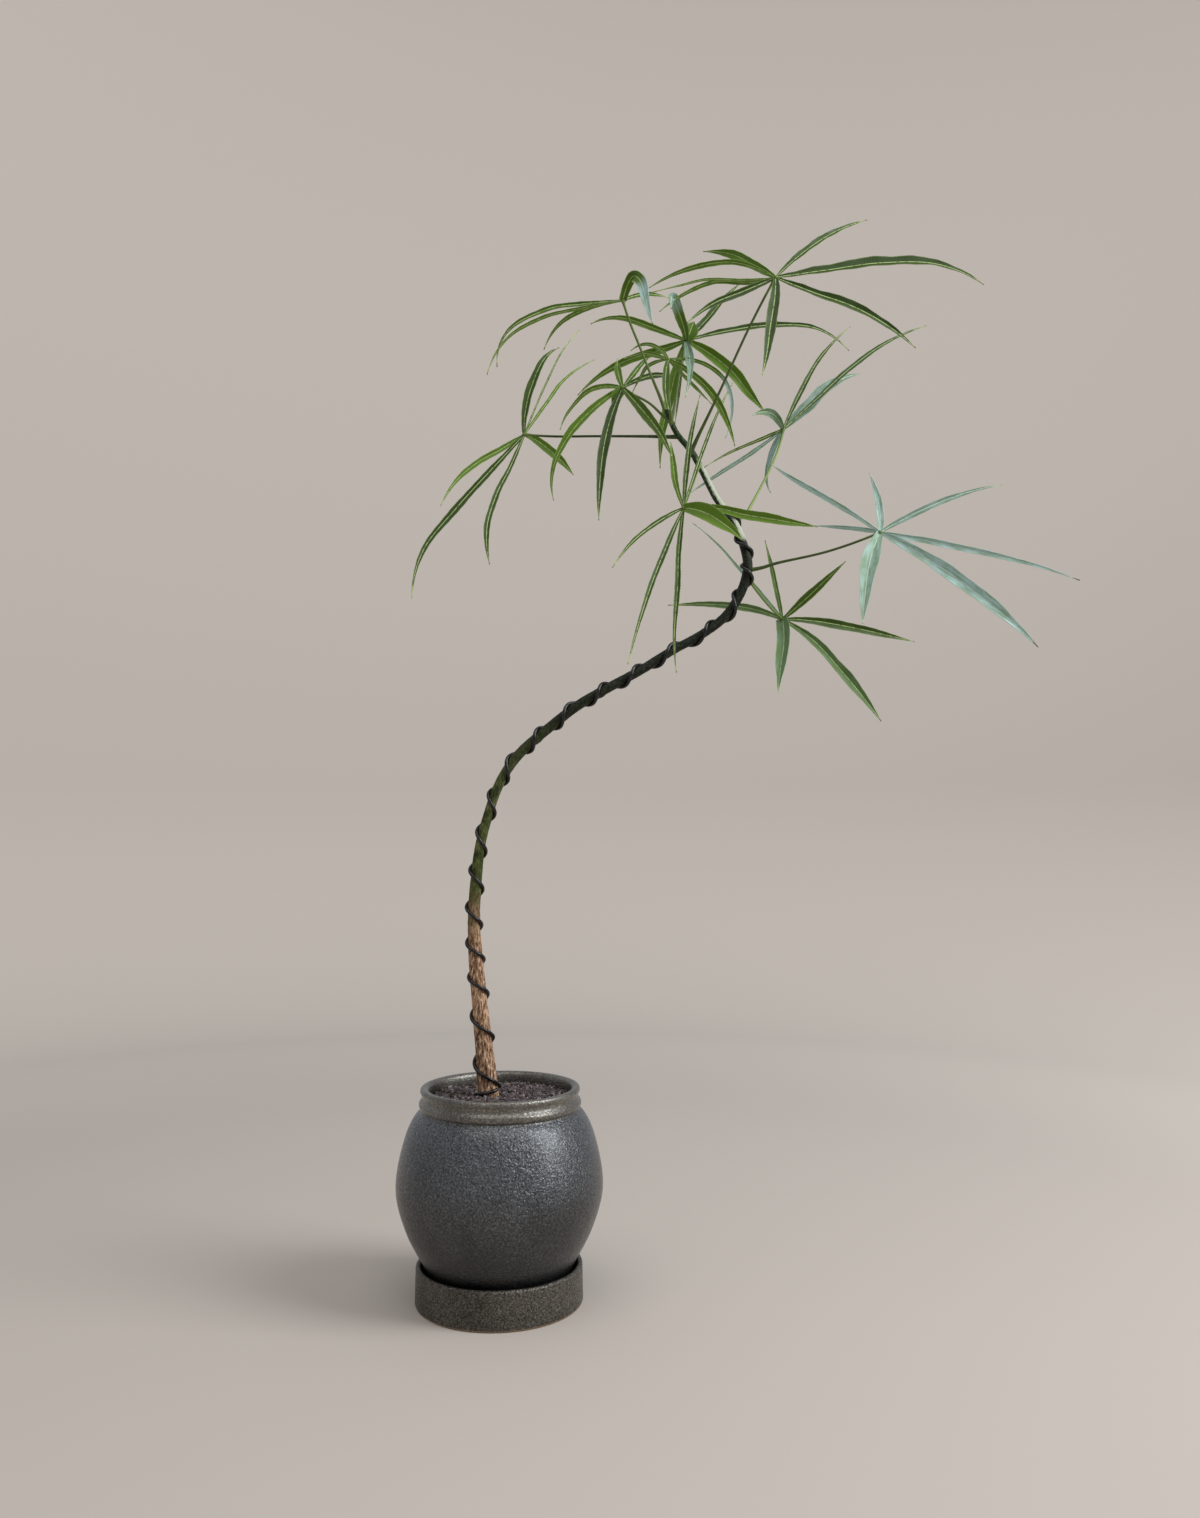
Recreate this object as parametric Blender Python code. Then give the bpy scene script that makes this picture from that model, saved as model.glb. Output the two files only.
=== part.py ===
"""A potted bottle tree: a thin, bent young trunk wound with training wire, its long-stalked
hand-shaped leaves, the potting mix and gravel it grows in, and a round glazed pot on its saucer.

The dimensions below are in millimetres and the scene is in metres. The origin is the middle of
the saucer's underside, +Z is up, and the trunk leans towards +X. -Y is the front.
"""

import math

import bmesh
import bpy
from mathutils import Matrix, Vector

MM = 0.001
GAP = 0.3  # clearance between pieces that touch
TURN_STEPS = 36  # facets round the pot, the saucer and what fills them

# Saucer
SAUCER_HEIGHT = 21.5
SAUCER_RADIUS = 47.8
SAUCER_FLOOR = 4.0

# Pot
POT_BASE = SAUCER_FLOOR + GAP
POT_TOP = 120.0
POT_FOOT_RADIUS = 36.5
POT_BELLY_RADIUS = 59.2
POT_BELLY_HEIGHT = 65.0
POT_NECK_RADIUS = 45.6
POT_MOUTH_RADIUS = 41.0
POT_FLOOR = 12.0
DRAIN_RADIUS = 7.0

# What fills the pot
MESH_RADIUS = 13.0
MESH_THICKNESS = 1.0
MESH_OPENING = 3.6
MESH_BAR = 1.4
MIX_TOP = 107.0
GRAVEL_EDGE = 113.4
GRAVEL_MIDDLE = 114.6

# Trunk: (x, y, z, radius) along its centre, from the root's end to the last leaf
TRUNK = (
    (-3, 0, 62, 2.5),
    (-4, 0, 80, 5.5),
    (-6, 0, 100, 6.6),
    (-7, 0, 115, 6.2),
    (-9, 0, 135, 5.5),
    (-11, -1, 155, 4.8),
    (-13, -1, 175, 4.3),
    (-15, -1, 196, 3.8),
    (-16, -1, 217, 3.6),
    (-15, 0, 237, 3.4),
    (-13, 1, 257, 3.0),
    (-8, 1, 277, 2.8),
    (-1, 1, 296, 2.8),
    (10, 0, 312, 2.9),
    (26, -1, 326, 2.9),
    (44, -2, 340, 2.9),
    (61, -2, 350, 2.8),
    (81, -1, 361, 2.7),
    (100, 0, 373, 2.6),
    (118, 1, 383, 2.6),
    (132, 1, 394, 2.7),
    (141, 1, 408, 2.8),
    (145, 0, 422, 2.9),
    (143, 0, 435, 2.6),
    (137, 0, 450, 2.3),
    (127, 0, 464, 2.1),
    (119, 0, 480, 2.0),
    (112, 0, 493, 1.9),
    (104, 0, 503, 1.7),
    (99, -1, 513, 1.6),
    (97, -2, 518, 1.4),
)
TRUNK_SIDES = 10
TRUNK_STEPS = 2  # rings for each pair of points

# Training wire: wound by hand, so each turn climbs a little differently
WIRE_RADIUS = 1.05
WIRE_START = 57.0  # distance along the trunk's centre line to where the wire crosses its right side
WIRE_TURNS = (29, 25, 20, 20, 21, 22, 23, 22, 24, 22, 24, 22, 24, 26, 25, 23, 15, 20)
WIRE_END = (0.35, 7.0)  # the last part turn, and how far it climbs
WIRE_STEPS = 10  # rings for each turn
WIRE_TAIL_DIP = 2.4  # how far the lowest part turn dips below that place
WIRE_GAP = 0.5

# Leaves
STALK_SIDES = 6
LOBE_THICKNESS = 0.8
LOBE_FOLD = 0.9  # how far a lobe's edges stand above its midrib
LOBE_STATIONS = (0.0, 0.12, 0.27, 0.42, 0.58, 0.74, 0.9)
LOBE_FRONT = (0, -0.93, -0.36)  # an unrolled lobe turns its upper side this way
LOBE_LEAST_HALF = 0.4
HUB_RADIUS = 1.7

# Each leaf: its hub, its stalk's points from the trunk, and its lobes. A lobe is its greatest
# width, its roll in degrees, the share of its length where it is widest, and the points it
# passes through, measured from the hub.
LEAVES = {
    "leaf_top_right": {
        "hub": (157, -45, 578),
        "stalk": ((112, 0, 493), (116, -5, 501), (121, -12, 510), (129, -22, 525), (143, -36, 553)),
        "lobes": (
            (4.5, -40, 0.45, (19, 15, 23), (40, 32, 44), (63, 47, 60)),
            (7.5, -45, 0.48, (30, 6, 7), (62, 12, 14), (96, 18, 16), (125, 25, 7)),
            (5.5, -30, 0.5, (22, 4, -7), (44, 8, -13), (64, 12, -22), (82, 15, -35)),
            (6, 5, 0.38, (-2, -10, -17), (-6, -20, -38), (-9, -30, -55), (-13, -40, -72)),
            (5.5, -15, 0.45, (-12, 12, 14), (-23, 24, 26), (-38, 35, 33)),
            (3, -5, 0.5, (-18, 6, 11), (-34, 9, 13), (-54, 14, 10), (-72, 20, 3)),
            (2.2, -5, 0.4, (-16, -1, 0), (-38, -2, 2), (-54, -3, 0), (-70, -3, -2)),
            (2.5, -10, 0.5, (-15, 5.5, -3.5), (-34, 12, -3), (-51, 17.5, -10.5), (-65, 24, -21)),
            (4, -5, 0.4, (-18, -5, -10), (-36, -11, -20), (-51, -15, -33)),
        ),
    },
    "leaf_tip": {
        "hub": (71, -28, 573),
        "stalk": ((97, -1, 516), (93, -5, 525), (89, -9, 533), (81, -17, 550), (75, -24, 562)),
        "lobes": (
            (6, 10, 0.45, (5, -12, 8), (10, -23, 0), (13, -29, -15), (16, -34, -29)),
            (3, 30, 0.45, (-24, -2, -3), (-44, -4, -7), (-66, -5, -20), (-72, -7, -42)),
            (2.2, 5, 0.5, (-21, 4, -2), (-46, 8, -6), (-68, 12, -17), (-80, 14, -38)),
            (2.5, 0, 0.5, (-20, 12, 1), (-37, 25, -2), (-48, 38, -13)),
            (2.5, 10, 0.4, (14, 26, 16), (29, 53, 26)),
        ),
    },
    "leaf_crown": {
        "hub": (110, 14, 567),
        "stalk": ((100, 0, 513), (102, 5, 521), (105, 10, 540)),
        "lobes": (
            (6, -5, 0.6, (-3, -22, 0), (-10, -46, 5), (-12, -64, -9)),
            (5, -35, 0.3, (13, 10, 17), (25, 20, 35), (38, 31, 52)),
            (4, 0, 0.4, (-18, 6, 10), (-40, 12, 20), (-59, 21, 20)),
            (4, -30, 0.4, (26, 7, 9), (52, 13, 15), (82, 19, 16), (105, 26, 4)),
            (7.5, -5, 0.5, (14, 2, -7), (28, 3, -18), (38, 5, -30), (49, 6, -43)),
            (5, 0, 0.35, (-18, 4, -5), (-36, 8, -9), (-53, 12, -17), (-67, 16, -28)),
            (5, 5, 0.3, (1, -20.6667, -20), (0, -37.3333, -35), (-3, -49, -52)),
            (6, 5, 0.45, (-6, 0, -18), (-11, 1, -40), (-15, 1, -58), (-16, 2, -79)),
            (2.2, 0, 0.5, (-2, 6, -12), (-4, 13, -30), (-6, 21, -45)),
            (9, 0, 0.5, (2, -1, 4), (3.5, -1, 8), (5, -1, 11.5)),
        ),
    },
    "leaf_young": {
        "hub": (98, -6, 547),
        "stalk": ((100, -1, 511), (99, -6, 518), (98, -8, 527), (97, -8, 537)),
        "lobes": (
            (2.5, -5, 0.35, (-4, 3, 7), (-10, 7, 12), (-16, 12, 14), (-22, 16, 12)),
            (2.5, 0, 0.4, (-9, 5, 5), (-15, 10, 8), (-21, 14, 8), (-27, 18, 8)),
            (2.2, 0, 0.4, (-11, 6, -1), (-16, 11, -6), (-21, 16, -14)),
            (2.5, 5, 0.45, (19, 4, 0), (34, 8, -9), (39, 10, -25), (35, 11, -44)),
            (4.5, 0, 0.5, (19, 2, -12), (32, 4, -29), (40, 6, -51)),
            (2.2, 0, 0.4, (7, 3, -6), (13, 6, -11), (20, 9, -17), (27, 12, -23)),
            (4.5, -15, 0.35, (-2, -8, -20), (0, -16, -37)),
        ),
    },
    "leaf_inner_left": {
        "hub": (71, 2, 533),
        "stalk": ((101, -2, 509), (95, 0, 515), (87, 1, 523), (77, 2, 529)),
        "lobes": (
            (4, 0, 0.5, (-2, 6, 9), (-3, 12, 17), (-3, 17, 25)),
            (3, 0, 0.4, (6, 9, 11), (12, 18, 22), (19, 28, 33)),
            (3.5, 0, 0.5, (13, 10, 10), (23, 21, 16), (37, 33, 19)),
            (3, 15, 0.28, (-18, 2, 0), (-31, 6, -10), (-38, 8, -23)),
            (5, 25, 0.38, (-17, -2, -13), (-31, -4, -29), (-41, -6, -50), (-41, -7, -71)),
            (6, 0, 0.42, (-9, -7, -28), (-13, -14, -56), (-14, -22, -87)),
            (6, 0, 0.4, (9, -9, -14), (17, -17, -27), (23, -26, -40), (28, -34, -54)),
            (7, 0, 0.5, (-3, -1, -4.5), (-4.5, -1, -7), (-6.5, -1, -10)),
        ),
    },
    "leaf_far_left": {
        "hub": (11, 15, 509),
        "stalk": ((104, 0, 502), (97, 3, 503), (87, 5, 504), (57, 10, 506), (30, 13, 507)),
        "lobes": (
            (5.5, -20, 0.5, (0, 6, 16), (3, 13, 34), (10, 19, 54), (20, 25, 65)),
            (2.2, 0, 0.5, (6, 11, 21), (13, 22, 43), (21, 33, 65), (32, 45, 85)),
            (2.2, 0, 0.4, (12, 12, 23), (24, 23, 44), (42, 35, 61)),
            (5.5, -10, 0.45, (8, 7, -2), (16, 15, -6), (23, 22, -11), (29, 30, -16)),
            (3.5, 10, 0.38, (-14, -5, -11), (-28, -10, -21), (-40, -15, -34), (-48, -20, -50)),
            (4, -5, 0.48, (-20, -10, -26), (-40, -18, -52), (-57, -26, -78), (-62, -35, -108)),
            (3.5, -5, 0.68, (-8, -10, -24), (-15, -21, -44), (-19, -33, -67), (-16, -45, -91)),
        ),
    },
    "leaf_right": {
        "hub": (171, 28, 516),
        "stalk": ((137, 1, 450), (144, 6, 456), (149, 10, 464), (164, 22, 494)),
        "lobes": (
            (3, -10, 0.35, (12, 5, 26), (26, 11, 51), (46, 17, 73)),
            (7.5, -20, 0.38, (17, 13, 19), (35, 27, 39), (57, 42, 52)),
            (3, -10, 0.45, (21, 3, 20), (43, 6, 41), (67, 9, 59), (93, 12, 71)),
            (5, -10, 0.4, (-9, -12, 6), (-22, -28, -1)),
            (2.2, 0, 0.22, (-17, -2, -8), (-34, -4, -16), (-50, -6, -26)),
            (2.5, 5, 0.5, (-19, 1, -14), (-39, 1, -27), (-59, 2, -40)),
            (4.5, 50, 0.35, (-5, 6, -11), (-9, 11, -25), (-6, 17, -35)),
        ),
    },
    "leaf_low_middle": {
        "hub": (105, -38, 448),
        "stalk": ((117, 0, 484), (115, -9, 479), (111, -22, 466)),
        "lobes": (
            (9.5, -20, 0.38, (12, -7, -5), (23, -13, -14), (31, -17, -23)),
            (5.5, -15, 0.58, (19, -2, -1), (35, -3, -5), (55, -5, -9), (74, -7, -13)),
            (2.5, 15, 0.35, (-15, -7, -10), (-29, -15, -23), (-40, -22, -39)),
            (3, 5, 0.35, (-10, -9, -24), (-19, -18, -48), (-26, -28, -71), (-32, -37, -94)),
            (3, 0, 0.4, (-3, -3, -25), (-4, -6, -47), (-6, -9, -74), (-5, -12, -95)),
            (3, -5, 0.4, (2, 5, 23), (5, 11, 45), (11, 18, 72)),
            (2.2, -5, 0.4, (7, 16, 23), (15, 32, 48), (25, 48, 75), (36, 64, 99)),
            (3.5, 0, 0.6, (-4, 7, 16), (-5, 15, 30), (-6, 23, 46)),
        ),
    },
    "leaf_far_right": {
        "hub": (218, -25, 437),
        "stalk": ((144, 0, 421), (153, -2, 422), (163, -7, 424), (190, -18, 428)),
        "lobes": (
            (4, -20, 0.4, (2, 7, 10), (3, 15, 21), (3, 23, 31), (1, 30, 44)),
            (3.5, -20, 0.35, (17, 4, 10), (35, 8, 19), (55, 12, 27), (75, 15, 32)),
            (3.5, -5, 0.3, (30, 2, -5), (59, 3, -11), (88, 4, -18), (115, 5, -27)),
            (7.5, -15, 0.5, (22, -9, -16), (42, -18, -34), (60, -26, -52), (76, -35, -72)),
            (9, 20, 0.33, (-8, -10, -18), (-13, -20, -37), (-17, -30, -58)),
            (3, 0, 0.6, (-15, 4, 12), (-30, 8, 23), (-46, 12, 34), (-60, 15, 45)),
            (2.5, 5, 0.35, (-10, 11, 5), (-24, 21, 9), (-32, 30, 12)),
        ),
    },
    "leaf_low_right": {
        "hub": (171, 40, 399),
        "stalk": ((144, 1, 421), (149, 12, 415), (160, 27, 406)),
        "lobes": (
            (3, 0, 0.4, (-4, -7, 14), (-8, -13, 29), (-13, -20, 45)),
            (5, -25, 0.4, (13, -6, 11), (24, -13, 21), (36, -20, 32)),
            (5.5, -15, 0.45, (19, 5, 0), (43, 10, -3), (66, 15, -7), (87, 20, -11)),
            (6.5, -20, 0.6, (18, -5, -14), (31, -10, -30), (45, -15, -49), (56, -20, -66)),
            (8.5, 30, 0.25, (-1, -12, -16), (-5, -24, -35), (-8, -35, -50)),
            (4.5, 10, 0.35, (-21, 4, 8), (-45, 7, 11), (-71, 10, 11)),
            (2.2, 0, 0.25, (-13, 2, 17), (-26, 5, 33), (-39, 7, 49), (-55, 10, 64)),
        ),
    },
}

# Finishes: colour, roughness, metallic
FINISHES = {
    "saucer_glaze": ((0.055, 0.045, 0.035), 0.4, 0.35),
    "pot_glaze": ((0.075, 0.085, 0.095), 0.32, 0.45),
    "plastic_mesh": ((0.02, 0.02, 0.02), 0.6, 0.0),
    "potting_mix": ((0.06, 0.04, 0.028), 0.95, 0.0),
    "gravel": ((0.11, 0.09, 0.09), 0.9, 0.0),
    "bark": ((0.26, 0.16, 0.09), 0.85, 0.0),
    "dark_wire": ((0.012, 0.009, 0.008), 0.3, 0.6),
    "leaf_green": ((0.10, 0.22, 0.05), 0.45, 0.0),
}


def clear_scene():
    for thing in list(bpy.data.objects):
        bpy.data.objects.remove(thing, do_unlink=True)


def finish(name):
    colour, roughness, metallic = FINISHES[name]
    material = bpy.data.materials.new(name)
    material.use_nodes = True
    shader = material.node_tree.nodes["Principled BSDF"]
    shader.inputs["Base Color"].default_value = (*colour, 1)
    shader.inputs["Roughness"].default_value = roughness
    shader.inputs["Metallic"].default_value = metallic
    return material


def add_object(name, bm, material=None):
    """Turns a bmesh in millimetres into an object in metres, and empties the bmesh."""
    bmesh.ops.scale(bm, vec=(MM, MM, MM), verts=bm.verts)
    bmesh.ops.recalc_face_normals(bm, faces=bm.faces)
    mesh = bpy.data.meshes.new(name)
    bm.to_mesh(mesh)
    bm.free()
    mesh.shade_smooth()
    mesh.set_sharp_from_angle(angle=math.radians(40))
    thing = bpy.data.objects.new(name, mesh)
    bpy.context.scene.collection.objects.link(thing)
    if material:
        mesh.materials.append(material)
    return thing


def make_helper(thing):
    thing.hide_render = True
    thing.display_type = "WIRE"
    return thing


def cut(thing, cutter):
    modifier = thing.modifiers.new(f"cut_{cutter.name}", "BOOLEAN")
    modifier.operation = "DIFFERENCE"
    modifier.solver = "EXACT"
    modifier.object = make_helper(cutter)


def join(thing, helpers):
    """Joins helper objects to a thing, all at once."""
    group = bpy.data.collections.new(f"{thing.name}_joined")
    for helper in helpers:
        group.objects.link(make_helper(helper))
    modifier = thing.modifiers.new("join", "BOOLEAN")
    modifier.operation = "UNION"
    modifier.solver = "EXACT"
    modifier.operand_type = "COLLECTION"
    modifier.collection = group


def smooth_path(points, steps):
    """Points on a smooth curve through the given ones, with so many steps for each pair.

    The coordinates may have any number of parts, so a radius can ride along with a place."""
    rows = [Vector(p) for p in points]
    before = 3 * rows[0] - 3 * rows[1] + rows[2]
    after = 3 * rows[-1] - 3 * rows[-2] + rows[-3]
    rows = [before, *rows, after]
    path = []
    for a, b, c, d in zip(rows, rows[1:], rows[2:], rows[3:]):
        for step in range(steps):
            t = step / steps
            path.append(
                0.5 * (2 * b + (c - a) * t + (2 * a - 5 * b + 4 * c - d) * t**2
                       + (3 * b - a - 3 * c + d) * t**3)
            )
    return [*path, rows[-2].copy()]


def directions(path):
    """The unit direction of the path at each of its points."""
    ends = [path[0], *path, path[-1]]
    return [(after - before).normalized() for before, after in zip(ends, ends[2:])]


def along(path, share):
    """The place and direction at a share of the path's length."""
    lengths = [(b - a).length for a, b in zip(path, path[1:])]
    left = share * sum(lengths)
    for index, length in enumerate(lengths):
        if left <= length or index == len(lengths) - 1:
            break
        left -= length
    start, end = path[index], path[index + 1]
    return start.lerp(end, left / length), (end - start).normalized()


def sweep(rings):
    """A closed solid through rings of points, made by extruding the first ring's face."""
    bm = bmesh.new()
    face = bm.faces.new([bm.verts.new(point) for point in rings[0]])
    for ring in rings[1:]:
        made = bmesh.ops.extrude_face_region(bm, geom=[face, *face.edges])["geom"]
        face = next(part for part in made if isinstance(part, bmesh.types.BMFace))
        for vert, point in zip(face.verts, ring):
            vert.co = point
    return bm


def round_rings(path, radii, sides):
    """A ring square to the path at each of its points, turned as little as possible."""
    across = Vector((0, 1, 0))
    rings = []
    for place, heading, radius in zip(path, directions(path), radii):
        across = (across - across.dot(heading) * heading).normalized()
        other = heading.cross(across)
        turns = [math.tau * side / sides for side in range(sides)]
        rings.append(
            [place + radius * (math.cos(a) * across + math.sin(a) * other) for a in turns]
        )
    return rings


def turned(outline, closed):
    """A solid of revolution about Z from (radius, height) points, listed from the bottom up its
    outside and down its inside. A closed outline has a hole through its middle."""
    bm = bmesh.new()
    verts = [bm.verts.new((radius, 0, height)) for radius, height in outline]
    pairs = list(zip(verts, verts[1:]))
    if closed:
        pairs.append((verts[-1], verts[0]))
    edges = [bm.edges.new(pair) for pair in pairs]
    bmesh.ops.spin(
        bm,
        geom=[*verts, *edges],
        axis=(0, 0, 1),
        cent=(0, 0, 0),
        angle=math.tau,
        steps=TURN_STEPS,
        use_merge=True,
    )
    bmesh.ops.remove_doubles(bm, verts=bm.verts, dist=0.001)
    return bm


def flat_pairs(points):
    return [(point[0], point[1]) for point in points]


def make_saucer():
    outline = (
        (0, 0),
        (SAUCER_RADIUS - 1.4, 0),
        (SAUCER_RADIUS, 1.5),
        (SAUCER_RADIUS - 0.4, 11),
        (SAUCER_RADIUS - 0.9, SAUCER_HEIGHT - 1.0),
        (SAUCER_RADIUS - 1.8, SAUCER_HEIGHT),
        (SAUCER_RADIUS - 2.8, SAUCER_HEIGHT - 0.8),
        (SAUCER_RADIUS - 3.6, 9),
        (SAUCER_RADIUS - 6.0, SAUCER_FLOOR),
        (0, SAUCER_FLOOR),
    )
    add_object("saucer", turned(outline, False), finish("saucer_glaze"))


def inside_wall():
    """The pot's inner side from its floor up to the neck, as (radius, height) points."""
    points = ((30, POT_FLOOR), (39, 21), (49, 42), (54.4, 65), (49.8, 91), (POT_MOUTH_RADIUS - 0.4, 106))
    return flat_pairs(smooth_path([(r, h, 0) for r, h in points], 2))


def make_pot():
    belly = (
        (POT_FOOT_RADIUS + 0.8, 8),
        (43.0, 21.5),
        (53.6, 42),
        (POT_BELLY_RADIUS, POT_BELLY_HEIGHT),
        (54.2, 92.5),
        (POT_NECK_RADIUS, 107.5),
    )
    rim = (
        (46.3, 109.2),
        (46.4, 111.8),
        (45.3, 114.2),
        (46.0, 116.0),
        (45.8, 118.4),
        (44.4, POT_TOP),
        (42.6, POT_TOP - 0.2),
        (POT_MOUTH_RADIUS, 118.2),
    )
    foot = (
        (POT_FOOT_RADIUS - 4, POT_BASE),
        (POT_FOOT_RADIUS - 0.6, POT_BASE),
        (POT_FOOT_RADIUS, POT_BASE + 0.8),
    )
    drain = (
        (DRAIN_RADIUS, POT_FLOOR),
        (DRAIN_RADIUS, POT_BASE + 2.7),
        (POT_FOOT_RADIUS - 5.5, POT_BASE + 2.7),
    )
    outside = flat_pairs(smooth_path([(r, h, 0) for r, h in belly], 2))
    outline = [*foot, *outside, *rim, *reversed(inside_wall()), *drain]
    add_object("pot", turned(outline, True), finish("pot_glaze"))


def make_drain_mesh():
    """The plastic mesh over the drain hole, a disc with nine square openings."""
    low = POT_FLOOR + GAP
    outline = ((0, low), (MESH_RADIUS, low), (MESH_RADIUS, low + MESH_THICKNESS), (0, low + MESH_THICKNESS))
    disc = add_object("drain_mesh", turned(outline, False), finish("plastic_mesh"))
    openings = bmesh.new()
    pitch = MESH_OPENING + MESH_BAR
    for column in (-1, 0, 1):
        for row in (-1, 0, 1):
            made = bmesh.ops.create_cube(openings, size=MESH_OPENING)["verts"]
            centre = (column * pitch, row * pitch, low + MESH_THICKNESS / 2)
            bmesh.ops.translate(openings, vec=centre, verts=made)
    cut(disc, add_object("drain_mesh_openings", openings))


def trunk_object(name, extra, material=None):
    """The trunk, or a cutter that is thicker than it by extra."""
    path = smooth_path(TRUNK, TRUNK_STEPS)
    path[0].z -= extra
    path[-1].z += extra
    radii = [point[3] + extra for point in path]
    rings = round_rings([point.to_3d() for point in path], radii, TRUNK_SIDES)
    return add_object(name, sweep(rings), material)


def make_mix_and_gravel(trunk_cutter):
    wall = [(radius - GAP, height + 0.1) for radius, height in inside_wall() if height < MIX_TOP - 3]
    mix_top_radius = POT_MOUTH_RADIUS
    above_mesh = POT_FLOOR + MESH_THICKNESS + 2 * GAP
    outline = (
        (0, above_mesh),
        (MESH_RADIUS + GAP, above_mesh),
        (MESH_RADIUS + GAP, POT_FLOOR + GAP),
        (wall[0][0] - 2, POT_FLOOR + GAP),
        *wall[1:],
        (mix_top_radius, MIX_TOP - 2),
        (mix_top_radius - 1.5, MIX_TOP),
        (0, MIX_TOP),
    )
    mix = add_object("potting_mix", turned(outline, False), finish("potting_mix"))
    cut(mix, trunk_cutter)
    edge = POT_MOUTH_RADIUS - 0.8
    outline = (
        (0, MIX_TOP + GAP),
        (edge, MIX_TOP + GAP),
        (edge, GRAVEL_EDGE - 0.6),
        (edge - 1.5, GRAVEL_EDGE),
        (edge / 2, (GRAVEL_EDGE + 2 * GRAVEL_MIDDLE) / 3),
        (0, GRAVEL_MIDDLE),
    )
    gravel = add_object("top_gravel", turned(outline, False), finish("gravel"))
    cut(gravel, trunk_cutter)


def trunk_frame(path, distance):
    """The trunk's centre, radius and two directions square to it, at a distance along it: to its
    right-hand or under side, and to its back."""
    for a, b in zip(path, path[1:]):
        length = (b.to_3d() - a.to_3d()).length
        if distance <= length:
            break
        distance -= length
    here = a.lerp(b, min(distance / length, 1.0))
    heading = (b.to_3d() - a.to_3d()).normalized()
    right = Vector((0, 1, 0)).cross(heading).normalized()
    return here.to_3d(), here[3], right, heading.cross(right)


def make_wire():
    """The wire climbs the front of the trunk from right to left, so its coil is left-handed. Its
    lower end is turned once round the trunk's foot and tucked under the first turn."""
    path = smooth_path(TRUNK, 6)
    climbs = [(0.0, 0.0, 0.0)]
    for number, rise in enumerate(WIRE_TURNS):
        climbs.append((number + 1.0, climbs[-1][1] + rise, 0.0))
    climbs.append((climbs[-1][0] + WIRE_END[0], climbs[-1][1] + WIRE_END[1], 0.0))
    tail = [-step / WIRE_STEPS for step in range(WIRE_STEPS - 1, 0, -1)]
    winding = [(turns, WIRE_TAIL_DIP * ((1 + 2 * turns) ** 2 - 1)) for turns in tail]
    winding += [(turns, rise) for turns, rise, _ in smooth_path(climbs, WIRE_STEPS)]
    points = []
    for turns, rise in winding:
        centre, radius, right, back = trunk_frame(path, WIRE_START + rise)
        angle = math.tau * turns
        reach = radius + WIRE_RADIUS + WIRE_GAP
        points.append(centre + reach * (math.cos(angle) * right - math.sin(angle) * back))
    rings = round_rings(points, [WIRE_RADIUS] * len(points), STALK_SIDES)
    add_object("training_wire", sweep(rings), finish("dark_wire"))


def lobe_outline(share, widest):
    """A lobe's half width at a share of its length, as a share of the greatest."""
    if share < widest:
        return 0.3 + 0.7 * math.sin(math.pi / 2 * share / widest) ** 0.8
    return math.cos(math.pi / 2 * (share - widest) / (1 - widest))


def lobe_object(name, hub, width, roll, widest, points):
    path = smooth_path([(0, 0, 0), *points], 5)
    chord = Vector(points[-1]).normalized()
    across = Matrix.Rotation(math.radians(roll), 3, chord) @ chord.cross(Vector(LOBE_FRONT))
    rings = []
    for share in LOBE_STATIONS:
        place, heading = along(path, share)
        side = (across - across.dot(heading) * heading).normalized()
        upper = side.cross(heading)
        half = max(lobe_outline(share, widest) * width / 2, LOBE_LEAST_HALF)
        fold = LOBE_FOLD * half / (width / 2)
        centre = hub + place
        rings.append(
            (
                centre + half * side + fold * upper,
                centre + LOBE_THICKNESS / 2 * upper,
                centre - half * side + fold * upper,
                centre - LOBE_THICKNESS / 2 * upper,
            )
        )
    bm = sweep(rings)
    tip = hub + Vector(points[-1])
    last = [vert for vert in bm.verts if (vert.co - centre).length <= width]
    last = sorted(last, key=lambda vert: (vert.co - centre).length)[:4]
    bmesh.ops.pointmerge(bm, verts=last, merge_co=tip)
    return add_object(name, bm)


def make_leaf(name, plan, trunk_cutter, material):
    """One leaf: its stalk, its hub and its lobes joined into one solid, seated on the trunk."""
    hub = Vector(plan["hub"])
    path = smooth_path([*plan["stalk"], plan["hub"]], 2)
    count = len(path) - 1
    radii = [0.75 + 0.6 * (1 - index / count) ** 3 for index in range(count + 1)]
    leaf = add_object(name, sweep(round_rings(path, radii, STALK_SIDES)), material)
    ball = bmesh.new()
    bmesh.ops.create_icosphere(ball, subdivisions=1, radius=HUB_RADIUS)
    bmesh.ops.translate(ball, vec=hub, verts=ball.verts)
    helpers = [add_object(f"{name}_hub", ball)]
    for number, (width, roll, widest, *points) in enumerate(plan["lobes"], 1):
        helpers.append(lobe_object(f"{name}_lobe_{number}", hub, width, roll, widest, points))
    join(leaf, helpers)
    cut(leaf, trunk_cutter)


def main():
    clear_scene()
    make_saucer()
    make_pot()
    make_drain_mesh()
    trunk_object("trunk", 0, finish("bark"))
    trunk_cutter = make_helper(trunk_object("trunk_cutter", GAP))
    make_mix_and_gravel(trunk_cutter)
    make_wire()
    green = finish("leaf_green")
    for name, plan in LEAVES.items():
        make_leaf(name, plan, trunk_cutter, green)


main()
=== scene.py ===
# %% [markdown]
# # A potted bottle tree
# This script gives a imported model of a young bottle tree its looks. The plant is a slender bonsai:
# a thin trunk bent into an S, dark training wire wound round it, and long-stalked leaves whose
# narrow lobes spread like fingers. It stands in a round glazed pot on a saucer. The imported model
# holds every piece at its real size and place, and the script builds finer pieces over it.
#
# Lengths are in millimetres while a piece is shaped, and each finished piece is scaled to metres.

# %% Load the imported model
import math
import random

import bmesh
import bpy
from mathutils import Matrix, Vector, noise


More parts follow.
